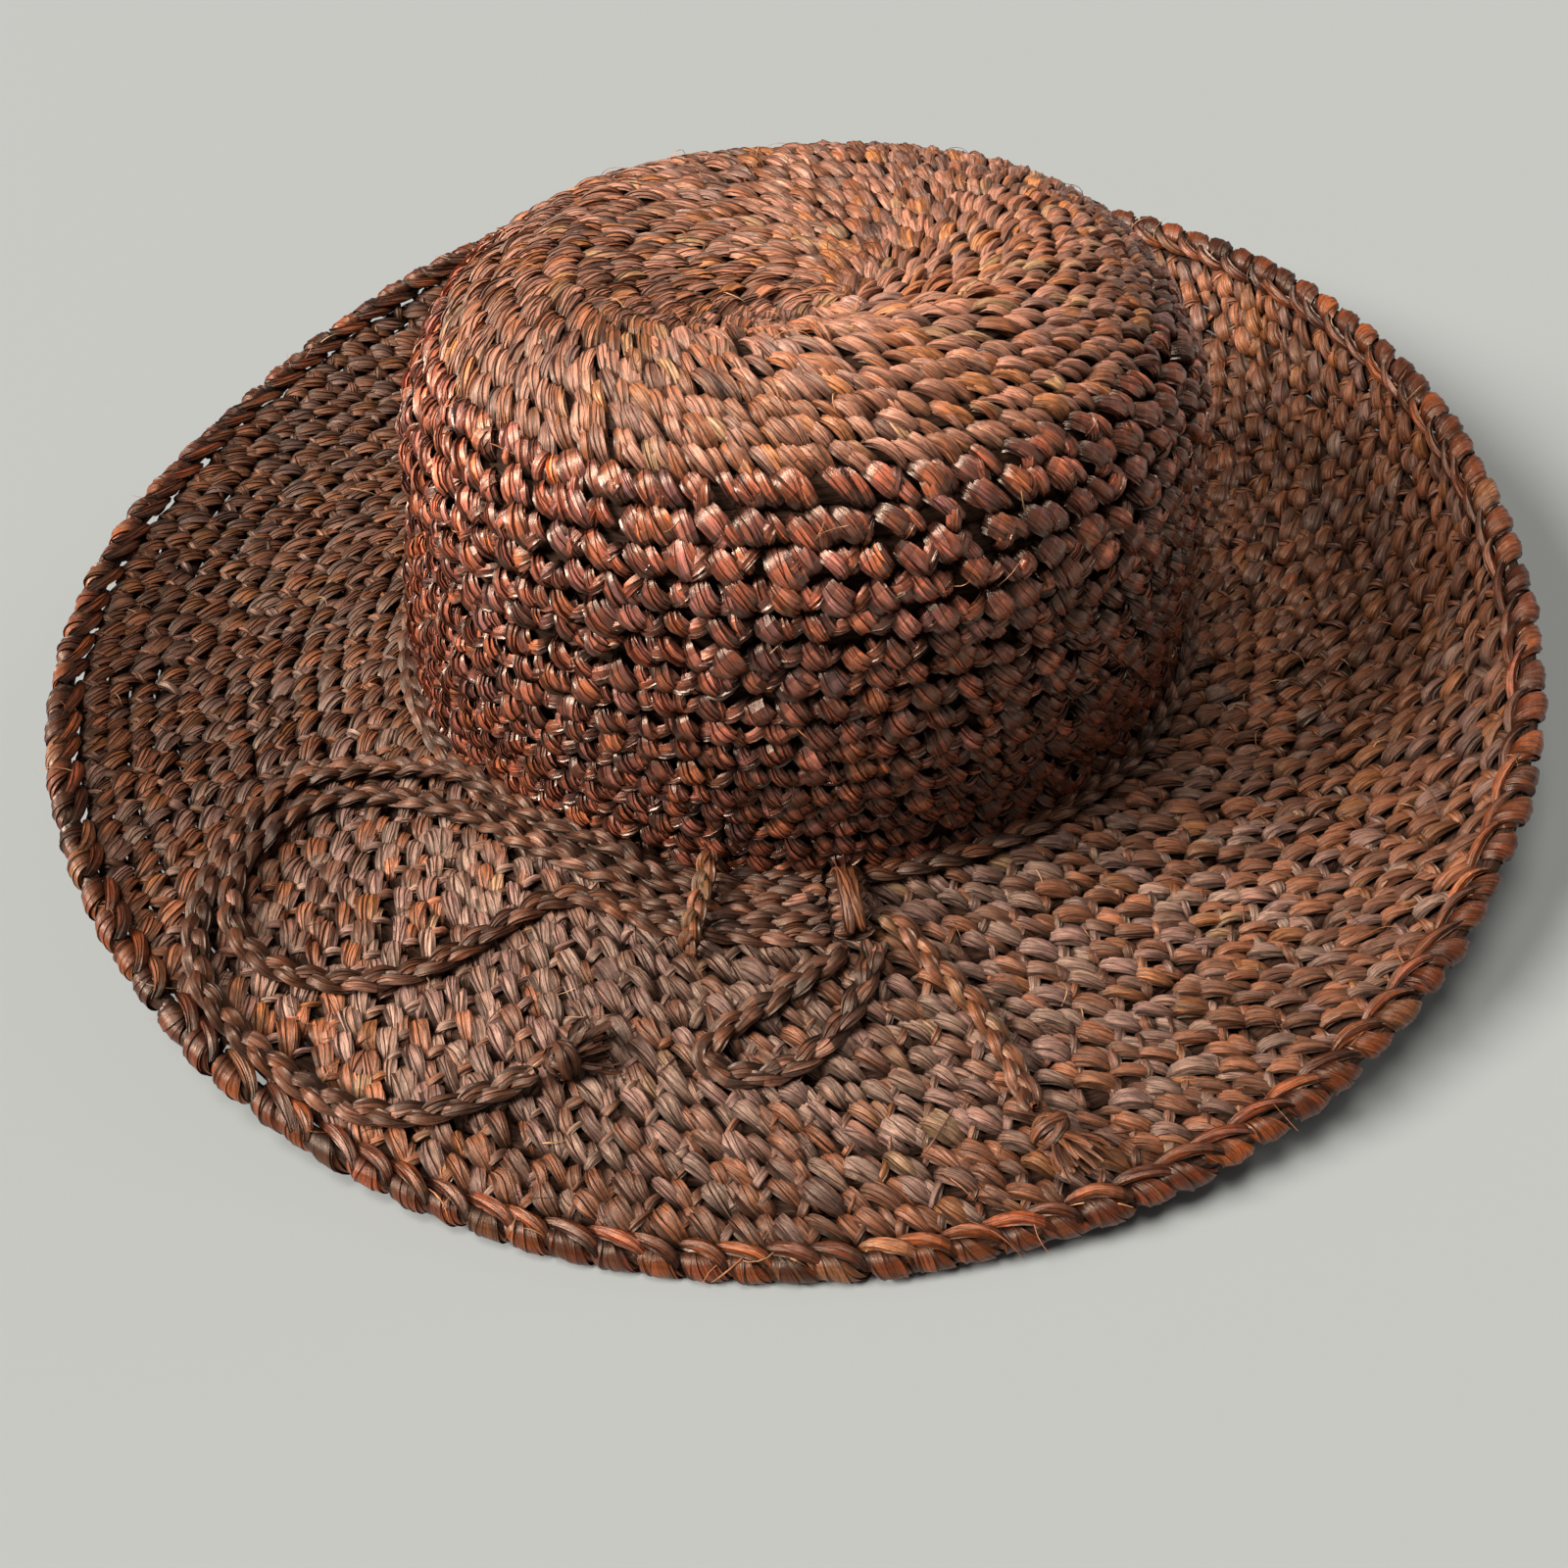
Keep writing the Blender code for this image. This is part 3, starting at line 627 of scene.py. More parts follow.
def add_hairs(heap, rng, place_of, place, count, dyes):
    """Thin loose fibres that stand a little off the crochet."""
    angles = rng.uniform(0, TAU, count)
    places = np.full(count, place)
    heading = rng.uniform(0, TAU, count)
    reach = rng.uniform(*HAIR_REACH, count) * MM
    bend = rng.normal(0, 0.35, count)
    steps = np.linspace(-1, 1, 7)
    way = heading[:, None] + bend[:, None] * steps
    line = np.stack([np.cos(way) * reach[:, None] * steps,
                     np.sin(way) * reach[:, None] * steps,
                     (1.7 - 1.8 * steps ** 2) * MM * rng.uniform(0.6, 1.5, (count, 1))], -1)
    wide = rng.uniform(*HAIR_WIDTH, count) * MM
    rings, grain = bundles(rng, line, wide, np.full(count, HAIR_DEPTH * MM),
                           rng.normal(0, 2, count), (0.4, 0.2), 0.05, top=2, under=1)
    colours = strand_colours(rng, (count, 3), dyes, 0.25)
    put(heap, place_of, angles, places, rings, colours, grain)


# ---- materials

FIBRE_STRETCH = (1.0, 1.0, 0.10)
RAFFIA_STREAK = 0.6
RAFFIA_IOR = 1.6
RAFFIA_TINT = (1.0, 0.75, 0.57, 1)
RELIEF_DEPTH = 0.35 * MM


def new_node(tree, kind, source, target, values):
    """A node with its input values set and its main input linked to a source."""
    node = tree.nodes.new(kind)
    for name, value in values.items():
        node.inputs[name].default_value = value
    tree.links.new(source, node.inputs[target])
    return node


def raffia(name, gloss, shine, bump=0.9):
    """Ribbons of raffia: each its own colour, with fine streaks along its fibres."""
    material = bpy.data.materials.new(name)
    material.use_nodes = True
    tree = material.node_tree
    shader = tree.nodes["Principled BSDF"]
    colour = tree.nodes.new("ShaderNodeAttribute")
    colour.attribute_name = "strand_colour"
    grain = tree.nodes.new("ShaderNodeAttribute")
    grain.attribute_name = "grain"
    stretch = new_node(tree, "ShaderNodeMapping", grain.outputs["Vector"], "Vector",
                       {"Scale": FIBRE_STRETCH})
    fibres = new_node(tree, "ShaderNodeTexNoise", stretch.outputs["Vector"], "Vector",
                      {"Scale": 2.6, "Detail": 5.0, "Roughness": 0.62})
    fibre = fibres.outputs["Fac"]
    ramp = new_node(tree, "ShaderNodeMapRange", fibre, "Value",
                    {"From Min": 0.38, "From Max": 0.62,
                     "To Min": 1.0 - RAFFIA_STREAK, "To Max": 1.0 + RAFFIA_STREAK})
    shade = tree.nodes.new("ShaderNodeVectorMath")
    shade.operation = "SCALE"
    tree.links.new(colour.outputs["Color"], shade.inputs["Vector"])
    tree.links.new(ramp.outputs["Result"], shade.inputs["Scale"])
    tree.links.new(shade.outputs["Vector"], shader.inputs["Base Color"])
    rough = new_node(tree, "ShaderNodeMapRange", fibre, "Value",
                     {"From Min": 0.30, "From Max": 0.70,
                      "To Min": gloss + 0.14, "To Max": gloss - 0.08})
    tree.links.new(rough.outputs["Result"], shader.inputs["Roughness"])
    relief = new_node(tree, "ShaderNodeBump", fibre, "Height",
                      {"Strength": bump, "Distance": RELIEF_DEPTH})
    tree.links.new(relief.outputs["Normal"], shader.inputs["Normal"])
    shader.inputs["IOR"].default_value = RAFFIA_IOR
    shader.inputs["Specular IOR Level"].default_value = shine
    shader.inputs["Specular Tint"].default_value = RAFFIA_TINT
    return material


TIP_RAFFIA = raffia("tip_raffia", gloss=0.36, shine=0.5)
WALL_RAFFIA = raffia("wall_raffia", gloss=0.26, shine=0.85, bump=0.8)
BRIM_RAFFIA = raffia("brim_raffia", gloss=0.42, shine=0.45)
EDGING_RAFFIA = raffia("edging_raffia", gloss=0.33, shine=0.42, bump=0.6)
BRAID_RAFFIA = raffia("braid_raffia", gloss=0.37, shine=0.40, bump=0.7)
CORE_RAFFIA = raffia("inner_raffia", gloss=0.75, shine=0.15)


# ---- camera and stage

def camera():
    data = bpy.data.cameras.new("camera")
    data.sensor_width = 36.0
    data.lens = CAMERA_LENS
    data.clip_start = 0.01
    item = new_item("camera", data)
    item.location = CAMERA_AT
    item.rotation_euler = [math.radians(a) for a in CAMERA_TURN]
    bpy.context.scene.camera = item


def floor():
    material = bpy.data.materials.new("pale_table")
    material.use_nodes = True
    shader = material.node_tree.nodes["Principled BSDF"]
    shader.inputs["Roughness"].default_value = 0.9
    shader.inputs["Specular IOR Level"].default_value = 0.1
    shader.inputs["Base Color"].default_value = FLOOR_COLOUR
    mesh = bpy.data.meshes.new("floor")
    half = FLOOR_HALF
    mesh.from_pydata([(-half, -half, 0), (half, -half, 0), (half, half, 0), (-half, half, 0)],
                     [], [(0, 1, 2, 3)])
    mesh.materials.append(material)
    item = new_item("floor", mesh)
    item.location = (0, 0, -FLOOR_DROP)


def sun(name, towards, breadth, strength):
    """A far soft light that shines from a direction."""
    data = bpy.data.lights.new(name, "SUN")
    data.angle = math.radians(breadth)
    data.energy = strength
    data.color = LIGHT_COLOUR
    item = new_item(name, data)
    item.location = towards
    item.rotation_euler = (-Vector(towards)).to_track_quat("-Z", "Y").to_euler()


def lights():
    """Three soft lights, and a dim room whose backdrop looks as pale as the floor."""
    for light in LIGHTS:
        sun(*light)
    world = bpy.data.worlds.new("room")
    world.use_nodes = True
    nodes, links = world.node_tree.nodes, world.node_tree.links
    glow = nodes["Background"]
    glow.inputs["Color"].default_value = GLOW_COLOUR
    glow.inputs["Strength"].default_value = GLOW_STRENGTH
    backdrop = nodes.new("ShaderNodeBackground")
    backdrop.inputs["Color"].default_value = BACKDROP_COLOUR
    ray = nodes.new("ShaderNodeLightPath")
    either = nodes.new("ShaderNodeMixShader")
    links.new(ray.outputs["Is Camera Ray"], either.inputs["Fac"])
    links.new(glow.outputs["Background"], either.inputs[1])
    links.new(backdrop.outputs["Background"], either.inputs[2])
    links.new(either.outputs["Shader"], nodes["World Output"].inputs["Surface"])
    bpy.context.scene.world = world
    bpy.context.scene.view_settings.view_transform = "Standard"


camera()
floor()
lights()


# ---- braided cords

def finish_piece(heap, name, material, node):
    """The heap's mesh as a piece that stands in for a CAD node."""
    item = heap.build(name, material)
    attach(item, "root")
    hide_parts(node)
    return item


def smooth_route(points, spacing):
    """Rows at even spacing along a smooth curve through the given rows."""
    points = np.array(points, float)
    padded = np.concatenate([points[:1], points, points[-1:]])
    fine = []
    for i in range(len(points) - 1):
        p0, p1, p2, p3 = padded[i:i + 4]
        for f in np.arange(12) / 12:
            fine.append(0.5 * (2 * p1 + (p2 - p0) * f + (2 * p0 - 5 * p1 + 4 * p2 - p3) * f * f
                               + (3 * p1 - p0 - 3 * p2 + p3) * f ** 3))
    fine.append(points[-1])
    fine = np.array(fine)
    along = distances(fine[:, :3])
    count = max(6, int(round(along[-1] / spacing)))
    wanted = np.linspace(0, along[-1], count + 1)
    return np.stack([np.interp(wanted, along, fine[:, k]) for k in range(fine.shape[1])], 1)


def brim_rows(route, diameter):
    """Route rows to world points with the brim's normal at each."""
    angle = np.radians([r[0] for r in route])
    place = np.array([r[1] for r in route]) * MM
    lift = np.array([sum(r[2:]) for r in route]) * MM + diameter / 2 + CORD_LIFT
    zero = np.zeros(len(route))
    low = BRIM.point(angle, place, zero)
    high = BRIM.point(angle, place, zero + 1.0)
    return np.concatenate([BRIM.point(angle, place, lift), high - low], 1)


def frame_of(line, up):
    """Directions across and upright for each point of a line."""
    slope = unit(np.gradient(line, axis=0))
    side = unit(np.cross(slope, up))
    return side, np.cross(side, slope)


def add_strand(heap, rng, centre, up, wide, deep, roll, tones, top=5, under=3, pleat=0.22):
    """One long bundle of ribbons along a line, with its own colours at each step."""
    flat, proud = frame_of(centre, up)
    steps = len(centre)
    length = distances(centre)
    turn, radius = section(rng, 1, top, under, pleat)
    ribbons = top + under
    base = turn.reshape(1, -1)
    edge = np.zeros((steps, ribbons))
    puff = np.ones((steps, ribbons))
    for target, size in ((edge, 0.16), (puff, 0.07)):
        rate = rng.uniform(0.5, 1.6, ribbons) / (9.0 * MM)
        phase = rng.uniform(0, 1, ribbons)
        target += size * np.sin(TAU * (length[:, None] * rate + phase))
    both = np.stack([edge, np.roll(edge, -1, 1)], -1).reshape(steps, -1)
    angle = base + both + roll[:, None]
    ring = radius.reshape(1, -1) * np.repeat(puff, 2, axis=1)
    a = np.cos(angle) * ring * wide[:, None]
    b = np.sin(angle) * ring * deep[:, None]
    rings = centre[:, None] + flat[:, None] * a[..., None] + proud[:, None] * b[..., None]
    seed = rng.uniform(0, 400)
    grain = np.stack([np.cos(base) * 1.4 + seed + 0 * angle, np.sin(base) + 0 * angle,
                      length[:, None] / MM + 0 * angle], -1)
    heap.add(rings[None], by_ribbon(tones)[None, :-1], grain[None])


def braid(heap, rows, width, rng, dyes, turn=BRAID_TURN, phase=0.0):
    """A flat braid of three strands along rows of (point, normal). Returns its line."""
    rows = smooth_route(rows, BRAID_STEP)
    line, up = rows[:, :3], rows[:, 3:]
    side, up = frame_of(line, up)
    length = distances(line)
    close = np.minimum(1, 0.5 + np.minimum(length, length[-1] - length) / BRAID_CLOSE)
    for strand in range(3):
        wave = TAU * (length / turn + strand / 3) + phase
        wobble = 1 + 0.06 * np.sin(length / turn * 2.3 + strand * 2.1)
        across = np.sin(wave) * width * 0.25 * wobble * close
        lift = np.sin(2 * wave) * width * 0.16
        shown = 0.5 + 0.5 * np.sin(2 * wave)
        wide = width * (0.21 + 0.08 * shown) * close
        deep = width * (0.135 + 0.05 * shown) * close
        count = int(2 * length[-1] / turn) + 4
        tones = strand_colours(rng, (count, 8), dyes, 0.2)
        own = strand_colours(rng, (count, 1), dyes, 0.2)
        tones = own * 0.6 + tones * 0.4
        part = np.floor(2 * (length / turn + strand / 3)).astype(int) % count
        roll = 0.5 * np.sin(wave)
        # Painted shade: each lobe is darker where its strand dives under the others.
        painted_shade = (0.35 + 0.85 * shown)[:, None, None]
        add_strand(heap, rng, line + side * across[:, None] + up * lift[:, None], up,
                   wide, deep, roll, tones[part] * painted_shade)
    return line


def hat_cord():
    angles = np.linspace(HAT_CORD_START, HAT_CORD_END, HAT_CORD_STEPS + 1)
    route = [(a, HAT_CORD_CLEARANCE) for a in angles]
    rng = np.random.default_rng(11)
    heap = Heap()
    braid(heap, brim_rows(route, CORD), BRAID_WIDTH, rng, CORD_DYES)
    finish_piece(heap, "hat_cord_braid", BRAID_RAFFIA, "hat_cord")


def free_cords():
    for node, route, far_end, seed, phase in (
            ("left_cord_tail", LEFT_TAIL, "knot", 21, 0.4),
            ("left_bow_loop", LEFT_LOOP, "object", 22, 1.7),
            ("right_bow_loop", RIGHT_LOOP, "object", 23, 0.9),
            ("right_cord_tail", RIGHT_TAIL, "knot", 24, 2.6)):
        rng = np.random.default_rng(seed)
        dyes = PALE_DYES if node == "right_cord_tail" else CORD_DYES
        heap = Heap()
        line = braid(heap, brim_rows(route, CORD), BRAID_WIDTH, rng, dyes, phase=phase)
        item = finish_piece(heap, node + "_braid", BRAID_RAFFIA, node)


def brim_axes(angle, distance, height):
    """A point above the brim, and its outward, sideways and upright directions."""
    angle = np.radians([angle])
    place = np.array([distance * MM])
    lift = np.array([height])
    point = BRIM.point(angle, place, lift)[0]
    outward = unit(BRIM.point(angle, place + MM, lift)[0] - point)
    upright = unit(BRIM.point(angle, place, lift + MM)[0] - point)
    return point, outward, np.cross(outward, upright), upright


def keeper(name, node, angle, profile, seed):
    """A short braid over the hat cord, along a profile of mm out and mm up."""
    points = np.array([brim_axes(angle, distance, height * MM)[0]
                       for distance, height in profile])
    side = brim_axes(angle, profile[0][0], 0.0)[2]
    up = unit(np.cross(side[None], np.gradient(points, axis=0)))
    heap = Heap()
    rng = np.random.default_rng(seed)
    braid(heap, np.concatenate([points, up], 1), KEEPER_WIDTH, rng, PALE_DYES, turn=KEEPER_TURN)
    finish_piece(heap, name, BRAID_RAFFIA, node)


def ring_strand(heap, rng, centre, first, second, drift, wide, deep, dyes, start=0.0, stop=TAU):
    """A bundle wound round a centre in the plane of two directions."""
    turn = np.linspace(start, stop, RING_STEPS)
    share = np.linspace(-0.5, 0.5, RING_STEPS)
    out = np.cos(turn)[:, None] * first + np.sin(turn)[:, None] * second
    line = centre + out + share[:, None] * drift
    size = 0.75 + 0.25 * np.sin(np.linspace(0.1, math.pi - 0.1, RING_STEPS))
    tones = blended(rng, 1, 8, dyes, 0.55, 0.2)
    add_strand(heap, rng, line, out, wide * size, deep * size, share * 0.6,
               np.repeat(tones, RING_STEPS, axis=0))


def bow_knot():
    """Short runs of braid side by side, and the strands that wrap them."""
    rng = np.random.default_rng(31)
    centre, outward, side, upright = brim_axes(*BOW_KNOT_AT, CORD_LIFT + BOW_KNOT_SIZE[2] / 2)
    long = outward * (BOW_KNOT_SIZE[1] / 2 - 0.8 * MM)
    tall = upright * (BOW_KNOT_SIZE[2] / 2 - 0.9 * MM)
    heap = Heap()
    for distance in BOW_RUNS:
        row = [centre + outward * distance * MM + side * along * MM - upright * 2.0 * MM
               for along in BOW_RUN_POINTS]
        rows = np.concatenate([row, np.repeat(upright[None], len(row), 0)], 1)
        braid(heap, rows, BRAID_WIDTH, rng, CORD_DYES)
    for offset, drift, size in BOW_WRAPS:
        ring_strand(heap, rng, centre + side * offset * MM, long * size, tall * size,
                    side * drift * MM, 1.15 * MM, 0.85 * MM, KNOT_DYES, start=-math.pi * 0.5)
    ring_strand(heap, rng, centre, long * 0.96, tall * 1.12, side * 4.6 * MM, 1.1 * MM,
                0.75 * MM, KNOT_DYES, start=-0.3, stop=math.pi + 0.3)
    finish_piece(heap, "bow_knot_wraps", BRAID_RAFFIA, "bow_knot")


def end_knot(name, node, ends, seed, dyes):
    """A knot of wound strands with a frayed tassel."""
    rng = np.random.default_rng(seed)
    height = CORD_LIFT + END_KNOT_RADIUS
    start, _, _, upright = brim_axes(*ends[0], height)
    finish = brim_axes(*ends[1], height)[0]
    axis = unit(finish - start)
    side = unit(np.cross(axis, upright))
    upright = np.cross(side, axis)
    centre = start + axis * 4.2 * MM - upright * 0.4 * MM
    heap = Heap()
    for tilt, lean, size in END_KNOT_RINGS:
        radius = END_KNOT_WIND * size
        pole = axis * math.cos(lean) + (side * math.cos(tilt) + upright * math.sin(tilt)) \
            * math.sin(lean)
        first = unit(np.cross(pole, upright))
        second = np.cross(pole, first)
        ring_strand(heap, rng, centre, first * radius, second * radius, pole * 2.2 * MM,
                    1.35 * MM, 0.85 * MM, dyes, start=tilt, stop=tilt + TAU)
    ring_strand(heap, rng, centre, axis * 2.0 * MM, side * 1.6 * MM, upright * 0.5 * MM,
                2.0 * MM, 1.9 * MM, dyes)
    for _ in range(TASSEL_RIBBONS):
        spread = rng.uniform(0, TAU)
        lean = rng.uniform(0.05, 0.85)
        way = side * math.cos(spread) + upright * math.sin(spread) * 0.8
        length = rng.uniform(*TASSEL_LENGTH) * MM
        steps = np.linspace(0, 1, TASSEL_STEPS)
        line = (centre + axis * 1.5 * MM + way * rng.uniform(0.2, 1.7) * MM
                + axis * (steps * length * math.cos(lean))[:, None]
                + way * (np.sin(steps * 1.5) * length * math.sin(lean))[:, None]
                - upright * (steps ** 2 * rng.uniform(0.0, 1.6) * MM)[:, None])
        tones = strand_colours(rng, (1, 5), dyes, 0.25)
        size = 1 - 0.5 * steps ** 3
        add_strand(heap, rng, line, upright[None] + way * rng.normal(0, 0.8),
                   rng.uniform(0.45, 1.0) * MM * size, rng.uniform(0.18, 0.35) * MM * size,
                   steps * rng.normal(0, 1.5), np.repeat(tones, TASSEL_STEPS, axis=0),
                   top=3, under=2)
    finish_piece(heap, name, BRAID_RAFFIA, node)


def cords():
    hat_cord()
    free_cords()
    bow_knot()
    keeper("front_keeper_braid", "front_keeper_loop", FRONT_KEEPER_ANGLE, FRONT_KEEPER, 41)
    keeper("back_keeper_braid", "back_keeper_loop", BACK_KEEPER_ANGLE, BACK_KEEPER, 42)
    end_knot("left_end_tassel", "left_end_knot", LEFT_KNOT_ENDS, 51, CORD_DYES)
    end_knot("right_end_tassel", "right_end_knot", RIGHT_KNOT_ENDS, 52, PALE_DYES)


# ---- crochet

LOOSE_END_AT = (-99.5, 45.0)
LOOSE_END = 10.5 * MM
LOOSE_END_ROUND = 7


def near(degrees, centre, breadth):
    """1 at a place round the hat, falling to 0 away from it."""
    return np.exp(-((degrees - centre) / breadth) ** 2)


def brim_colours(row):
    """Colours for one round of the brim: greyer in front, rust at the back and at its edge."""
    def pick(rng, angles, ribbons):
        degrees = np.degrees(angles) % 360
        count = len(angles)
        near_edge = 1 / (1 + math.exp(11.5 - row))
        cool = (1.1 * near(degrees, 252, 60) * (1 - 0.75 * near_edge)
                + 0.12 * np.sin(3 * angles + 0.7 * row))
        rust = blended(rng, count, ribbons, RUST_DYES, 0.7, 0.20)
        grey = blended(rng, count, ribbons, GREY_DYES, 0.7, 0.20)
        # Lighter and darker by place round the brim: the sine terms are dye-lot tone, it is
        # lighter inside the left loop, painted light falls on the far right brim that faces the
        # window and painted shade on the left brim that curls away from it.
        dye_and_painted_light = np.exp(0.10 * np.sin(2 * angles + 0.5 * row) + 0.08 * np.sin(5 * angles - 0.9 * row)
                     + 0.66 * near(degrees, 228, 17) + 0.32 * near(degrees, 45, 35)
                     - 0.10 * near(degrees, 175, 40))
        picked = rng.uniform(size=(count, 1, 1)) < cool[:, None, None]
        return np.where(picked, grey * GREY_TINT, rust * RUST_TINT) * dye_and_painted_light[:, None, None]
    return pick


def wall_colours(row):
    """Colours for one round of the crown's side: darker below, as painted shade on the upright
    wall, and paler near the tip.
    """
    light = 0.50 + 0.29 / (1 + math.exp(10.5 - row))

    def pick(rng, angles, ribbons):
        degrees = np.degrees(angles) % 360
        # Painted light on the wall's left front, which faces the window, and painted shade on its
        # right front.
        dye_and_painted_light = np.exp(0.28 * near(degrees, 200, 38) - 0.22 * near(degrees, 335, 40))
        colours = blended(rng, len(angles), ribbons, WALL_DYES, 0.5, 0.42)
        return colours * WALL_TINT * (light * dye_and_painted_light)[:, None, None]
    return pick


def tip_colours(rng, angles, ribbons):
    return blended(rng, len(angles), ribbons, TIP_DYES) * TIP_TINT


def edging_colours(rng, count):
    return blended(rng, count, RIBBONS, EDGING_DYES, spread=0.38) * EDGING_TINT


def ring_radius(surface, place):
    """How far a round lies from the middle of the hat, on average."""
    angle = np.linspace(0, TAU, 73)[:-1]
    return float(surface.radius(angle, np.full(angle.shape, place)).mean())


def brim_crochet():
    tall = BRIM_REACH / BRIM_ROUNDS
    kinds = ((BRIM_WEDGE, 2.2, 0.95, 0.4, 7, 3, 0.45), (BRIM_TUCK, 1.8, 0.8, 0.4, 5, 2, 0.4),
             (BRIM_LINK, 1.2, 0.8, 0.8, 4, 2, 0.0))
    core = Heap()
    for k in range(BRIM_ROUNDS):
        rng = np.random.default_rng(100 + k)
        heap = Heap()
        place = (k + 0.5) * tall
        radius = ring_radius(BRIM, place)
        count = round(TAU * radius / STITCH_WIDTH)
        add_core(core, rng, brim_place, place, tall * 0.46, radius, 1.3 * MM)
        add_round(heap, rng, brim_place, rng.uniform(0, TAU), place, TAU * radius / count, tall,
                  count, kinds, brim_colours(k), BRIM_PAINTED_SHADE, row=tall)
        add_hairs(heap, rng, brim_place, place, 14, BRIM_HAIRS)
        if k == LOOSE_END_ROUND:
            loose_end(heap, rng)
        finish_piece(heap, f"brim_round_{k + 1:02d}", BRIM_RAFFIA, "brim")
    finish_piece(core, "brim_inner_strand_gap_shade", CORE_RAFFIA, "brim")


def loose_end(heap, rng):
    """One cut end of raffia that stands out of the brim."""
    steps = np.linspace(0, 1, 12)
    foot, outward, side, upright = brim_axes(*LOOSE_END_AT, -1.0 * MM)
    way = -outward * 0.94 + side * 0.34
    line = foot + way * (steps * LOOSE_END)[:, None] \
        + upright * (3.6 * MM * np.sin(steps * 2.4))[:, None]
    tones = strand_colours(rng, (1, 7), ([BROWN, DARK, RUST * 0.6], [3, 2, 2]), 0.2)
    add_strand(heap, rng, line, np.repeat(upright[None], len(steps), 0),
               1.1 * MM * (1 - 0.5 * steps), 0.35 * MM * (1 - 0.3 * steps), steps * 1.2,
               np.repeat(tones, len(steps), axis=0), top=4, under=3)


def wall_crochet():
    core = Heap()
    for k in range(WALL_ROUNDS):
        rng = np.random.default_rng(200 + k)
        heap = Heap()
        place = k + 0.5
        radius = ring_radius(CROWN, place)
        count = round(TAU * radius / STITCH_WIDTH)
        tall = CROWN.round_height
        share = SHOULDER_SHARE * min(max((k - SHOULDER_ROUND) / SHOULDER_ROUNDS, 0), 1)
        kinds = ((mixed(WALL_LOBE, TIP_LEAF, share), 2.7 - 1.0 * share, 1.5 - 0.5 * share,
                  1.2, 8, 3, 0.0),
                 (mixed(WALL_SIDE, np.add(TIP_LEG, (1, 0, 0)), share), 1.6, 1.1, 0.9, 6, 2, 0.0),
                 (mixed(WALL_LINK, TIP_FOLD[::-1], share), 1.7, 1.15, 1.4, 6, 2, 0.0))
        add_core(core, rng, wall_place, place, tall * 0.52, radius, 1.2 * MM)
        add_round(heap, rng, wall_place, rng.uniform(0, TAU), place, TAU * radius / count, tall,
                  count, kinds, wall_colours(k), WALL_PAINTED_SHADE)
        add_hairs(heap, rng, wall_place, place, 7, CROWN_HAIRS)
        finish_piece(heap, f"side_round_{k + 1:02d}", WALL_RAFFIA, "crown_side")
    finish_piece(core, "side_inner_strand_gap_shade", CORE_RAFFIA, "crown_side")


def tip_crochet():
    core = Heap()
    for k in range(TIP_ROUNDS):
        rng = np.random.default_rng(300 + k)
        heap = Heap()
        ring = TIP_ROUNDS - 1 - k
        radius = (ring + 0.5) * TIP_ROUND_HEIGHT
        count = max(6, round(TAU * radius / TIP_STITCH + 1.5))
        spiral = min(1.0, k / SPIRAL_ROUNDS)
        middle = WALL_ROUNDS + k + 0.5
        place = middle - (np.arange(count) / count - 0.5) * spiral
        kinds = ((TIP_LEG, 1.65, 0.95, 0.5, 5, 2, 0.0), (TIP_LEAF, 1.7, 0.95, 0.6, 5, 2, 0.2),
                 (TIP_FOLD, 1.55, 0.95, 0.6, 5, 2, 0.0))
        add_core(core, rng, tip_place, middle, TIP_ROUND_HEIGHT * 0.46, radius, 1.2 * MM)
        add_round(heap, rng, tip_place, 0.0, place, TAU * radius / count,
                  TIP_ROUND_HEIGHT, count, kinds, tip_colours, BRIM_PAINTED_SHADE)
        add_hairs(heap, rng, tip_place, middle, 4, CROWN_HAIRS)
        finish_piece(heap, f"tip_round_{ring + 1:02d}", TIP_RAFFIA, "crown_tip")
    finish_piece(core, "tip_inner_strand_gap_shade", CORE_RAFFIA, "crown_tip")


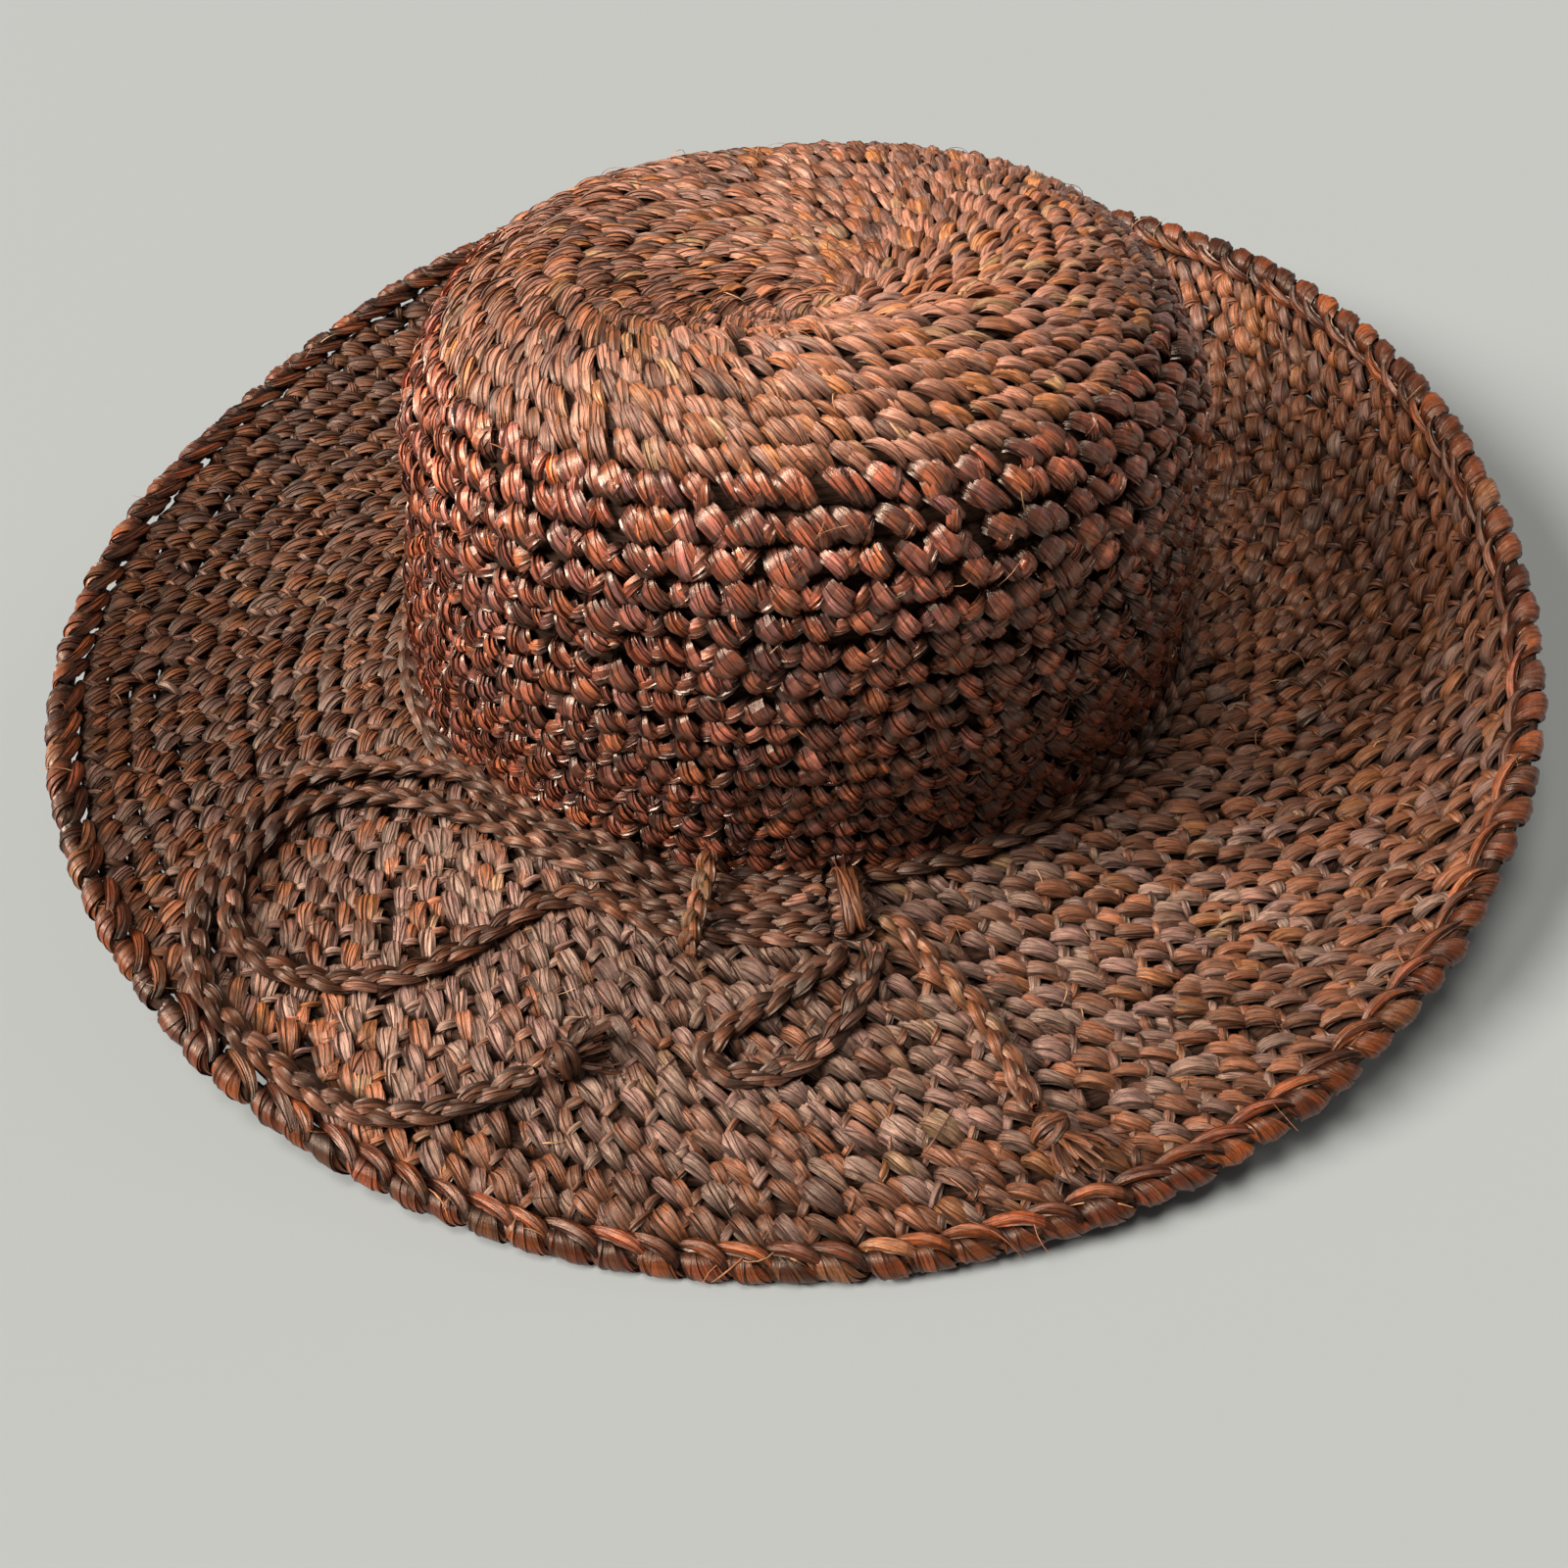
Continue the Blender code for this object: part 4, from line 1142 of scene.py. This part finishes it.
EDGING_LEAF = ((-0.98, -2.9, -1.6), (-0.50, -3.2, 1.4), (0.20, -2.4, 2.6), (0.56, 1.4, 0.2))
BEAD_RADIUS = 2.4 * MM
BEAD_RINGS = 16


def edging_crochet():
    rng = np.random.default_rng(400)
    heap = Heap()
    place = BRIM_REACH + EDGING_DIAMETER / 2
    radius = ring_radius(BRIM, place)
    count = round(TAU * radius / EDGING_STITCH)
    pitch = TAU * radius / count
    middle = -FABRIC / 2
    core = Heap()
    add_core(core, rng, brim_place, place, 2.0 * MM, radius, 2.0 * MM, height=-2.0)
    finish_piece(core, "edging_inner_strand_gap_shade", CORE_RAFFIA, "brim_edging")
    angles = TAU * (np.arange(count) + rng.normal(0, 0.05, count)) / count
    places = np.full(count, place)
    sweep = np.radians(np.linspace(118, -150, BEAD_RINGS))
    reach = BEAD_RADIUS * rng.normal(1, 0.07, (count, 1))
    slant = rng.normal(0.40, 0.06, (count, 1)) * pitch
    line = np.stack([slant * np.linspace(-1, 1, BEAD_RINGS) + 0 * reach, reach * np.cos(sweep),
                     middle + reach * np.sin(sweep)], -1)
    side = np.array([1.0, 0.0, 0.0]).reshape(1, 1, 3)
    rings, grain = bundles(rng, line, pitch * rng.normal(0.47, 0.03, count),
                           np.full(count, 1.7 * MM), rng.normal(0.6, 0.3, count), (0.6, 0.6),
                           0.14, side=side, blunt=0.45)
    put(heap, brim_place, angles, places, rings, edging_colours(rng, count), grain, BEAD_PAINTED_SHADE)
    line = curves(leaf(EDGING_LEAF, pitch, MM, rng, count))
    rings, grain = bundles(rng, line, np.full(count, 1.5 * MM), np.full(count, 0.95 * MM),
                           rng.normal(0.6, 0.3, count), (0.1, 0.7), 0.2)
    put(heap, brim_place, angles, places, rings, edging_colours(rng, count), grain, BEAD_PAINTED_SHADE)
    add_hairs(heap, rng, brim_place, place, 70, CROWN_HAIRS)
    finish_piece(heap, "edging_round", EDGING_RAFFIA, "brim_edging")


cords()
brim_crochet()
wall_crochet()
tip_crochet()
edging_crochet()
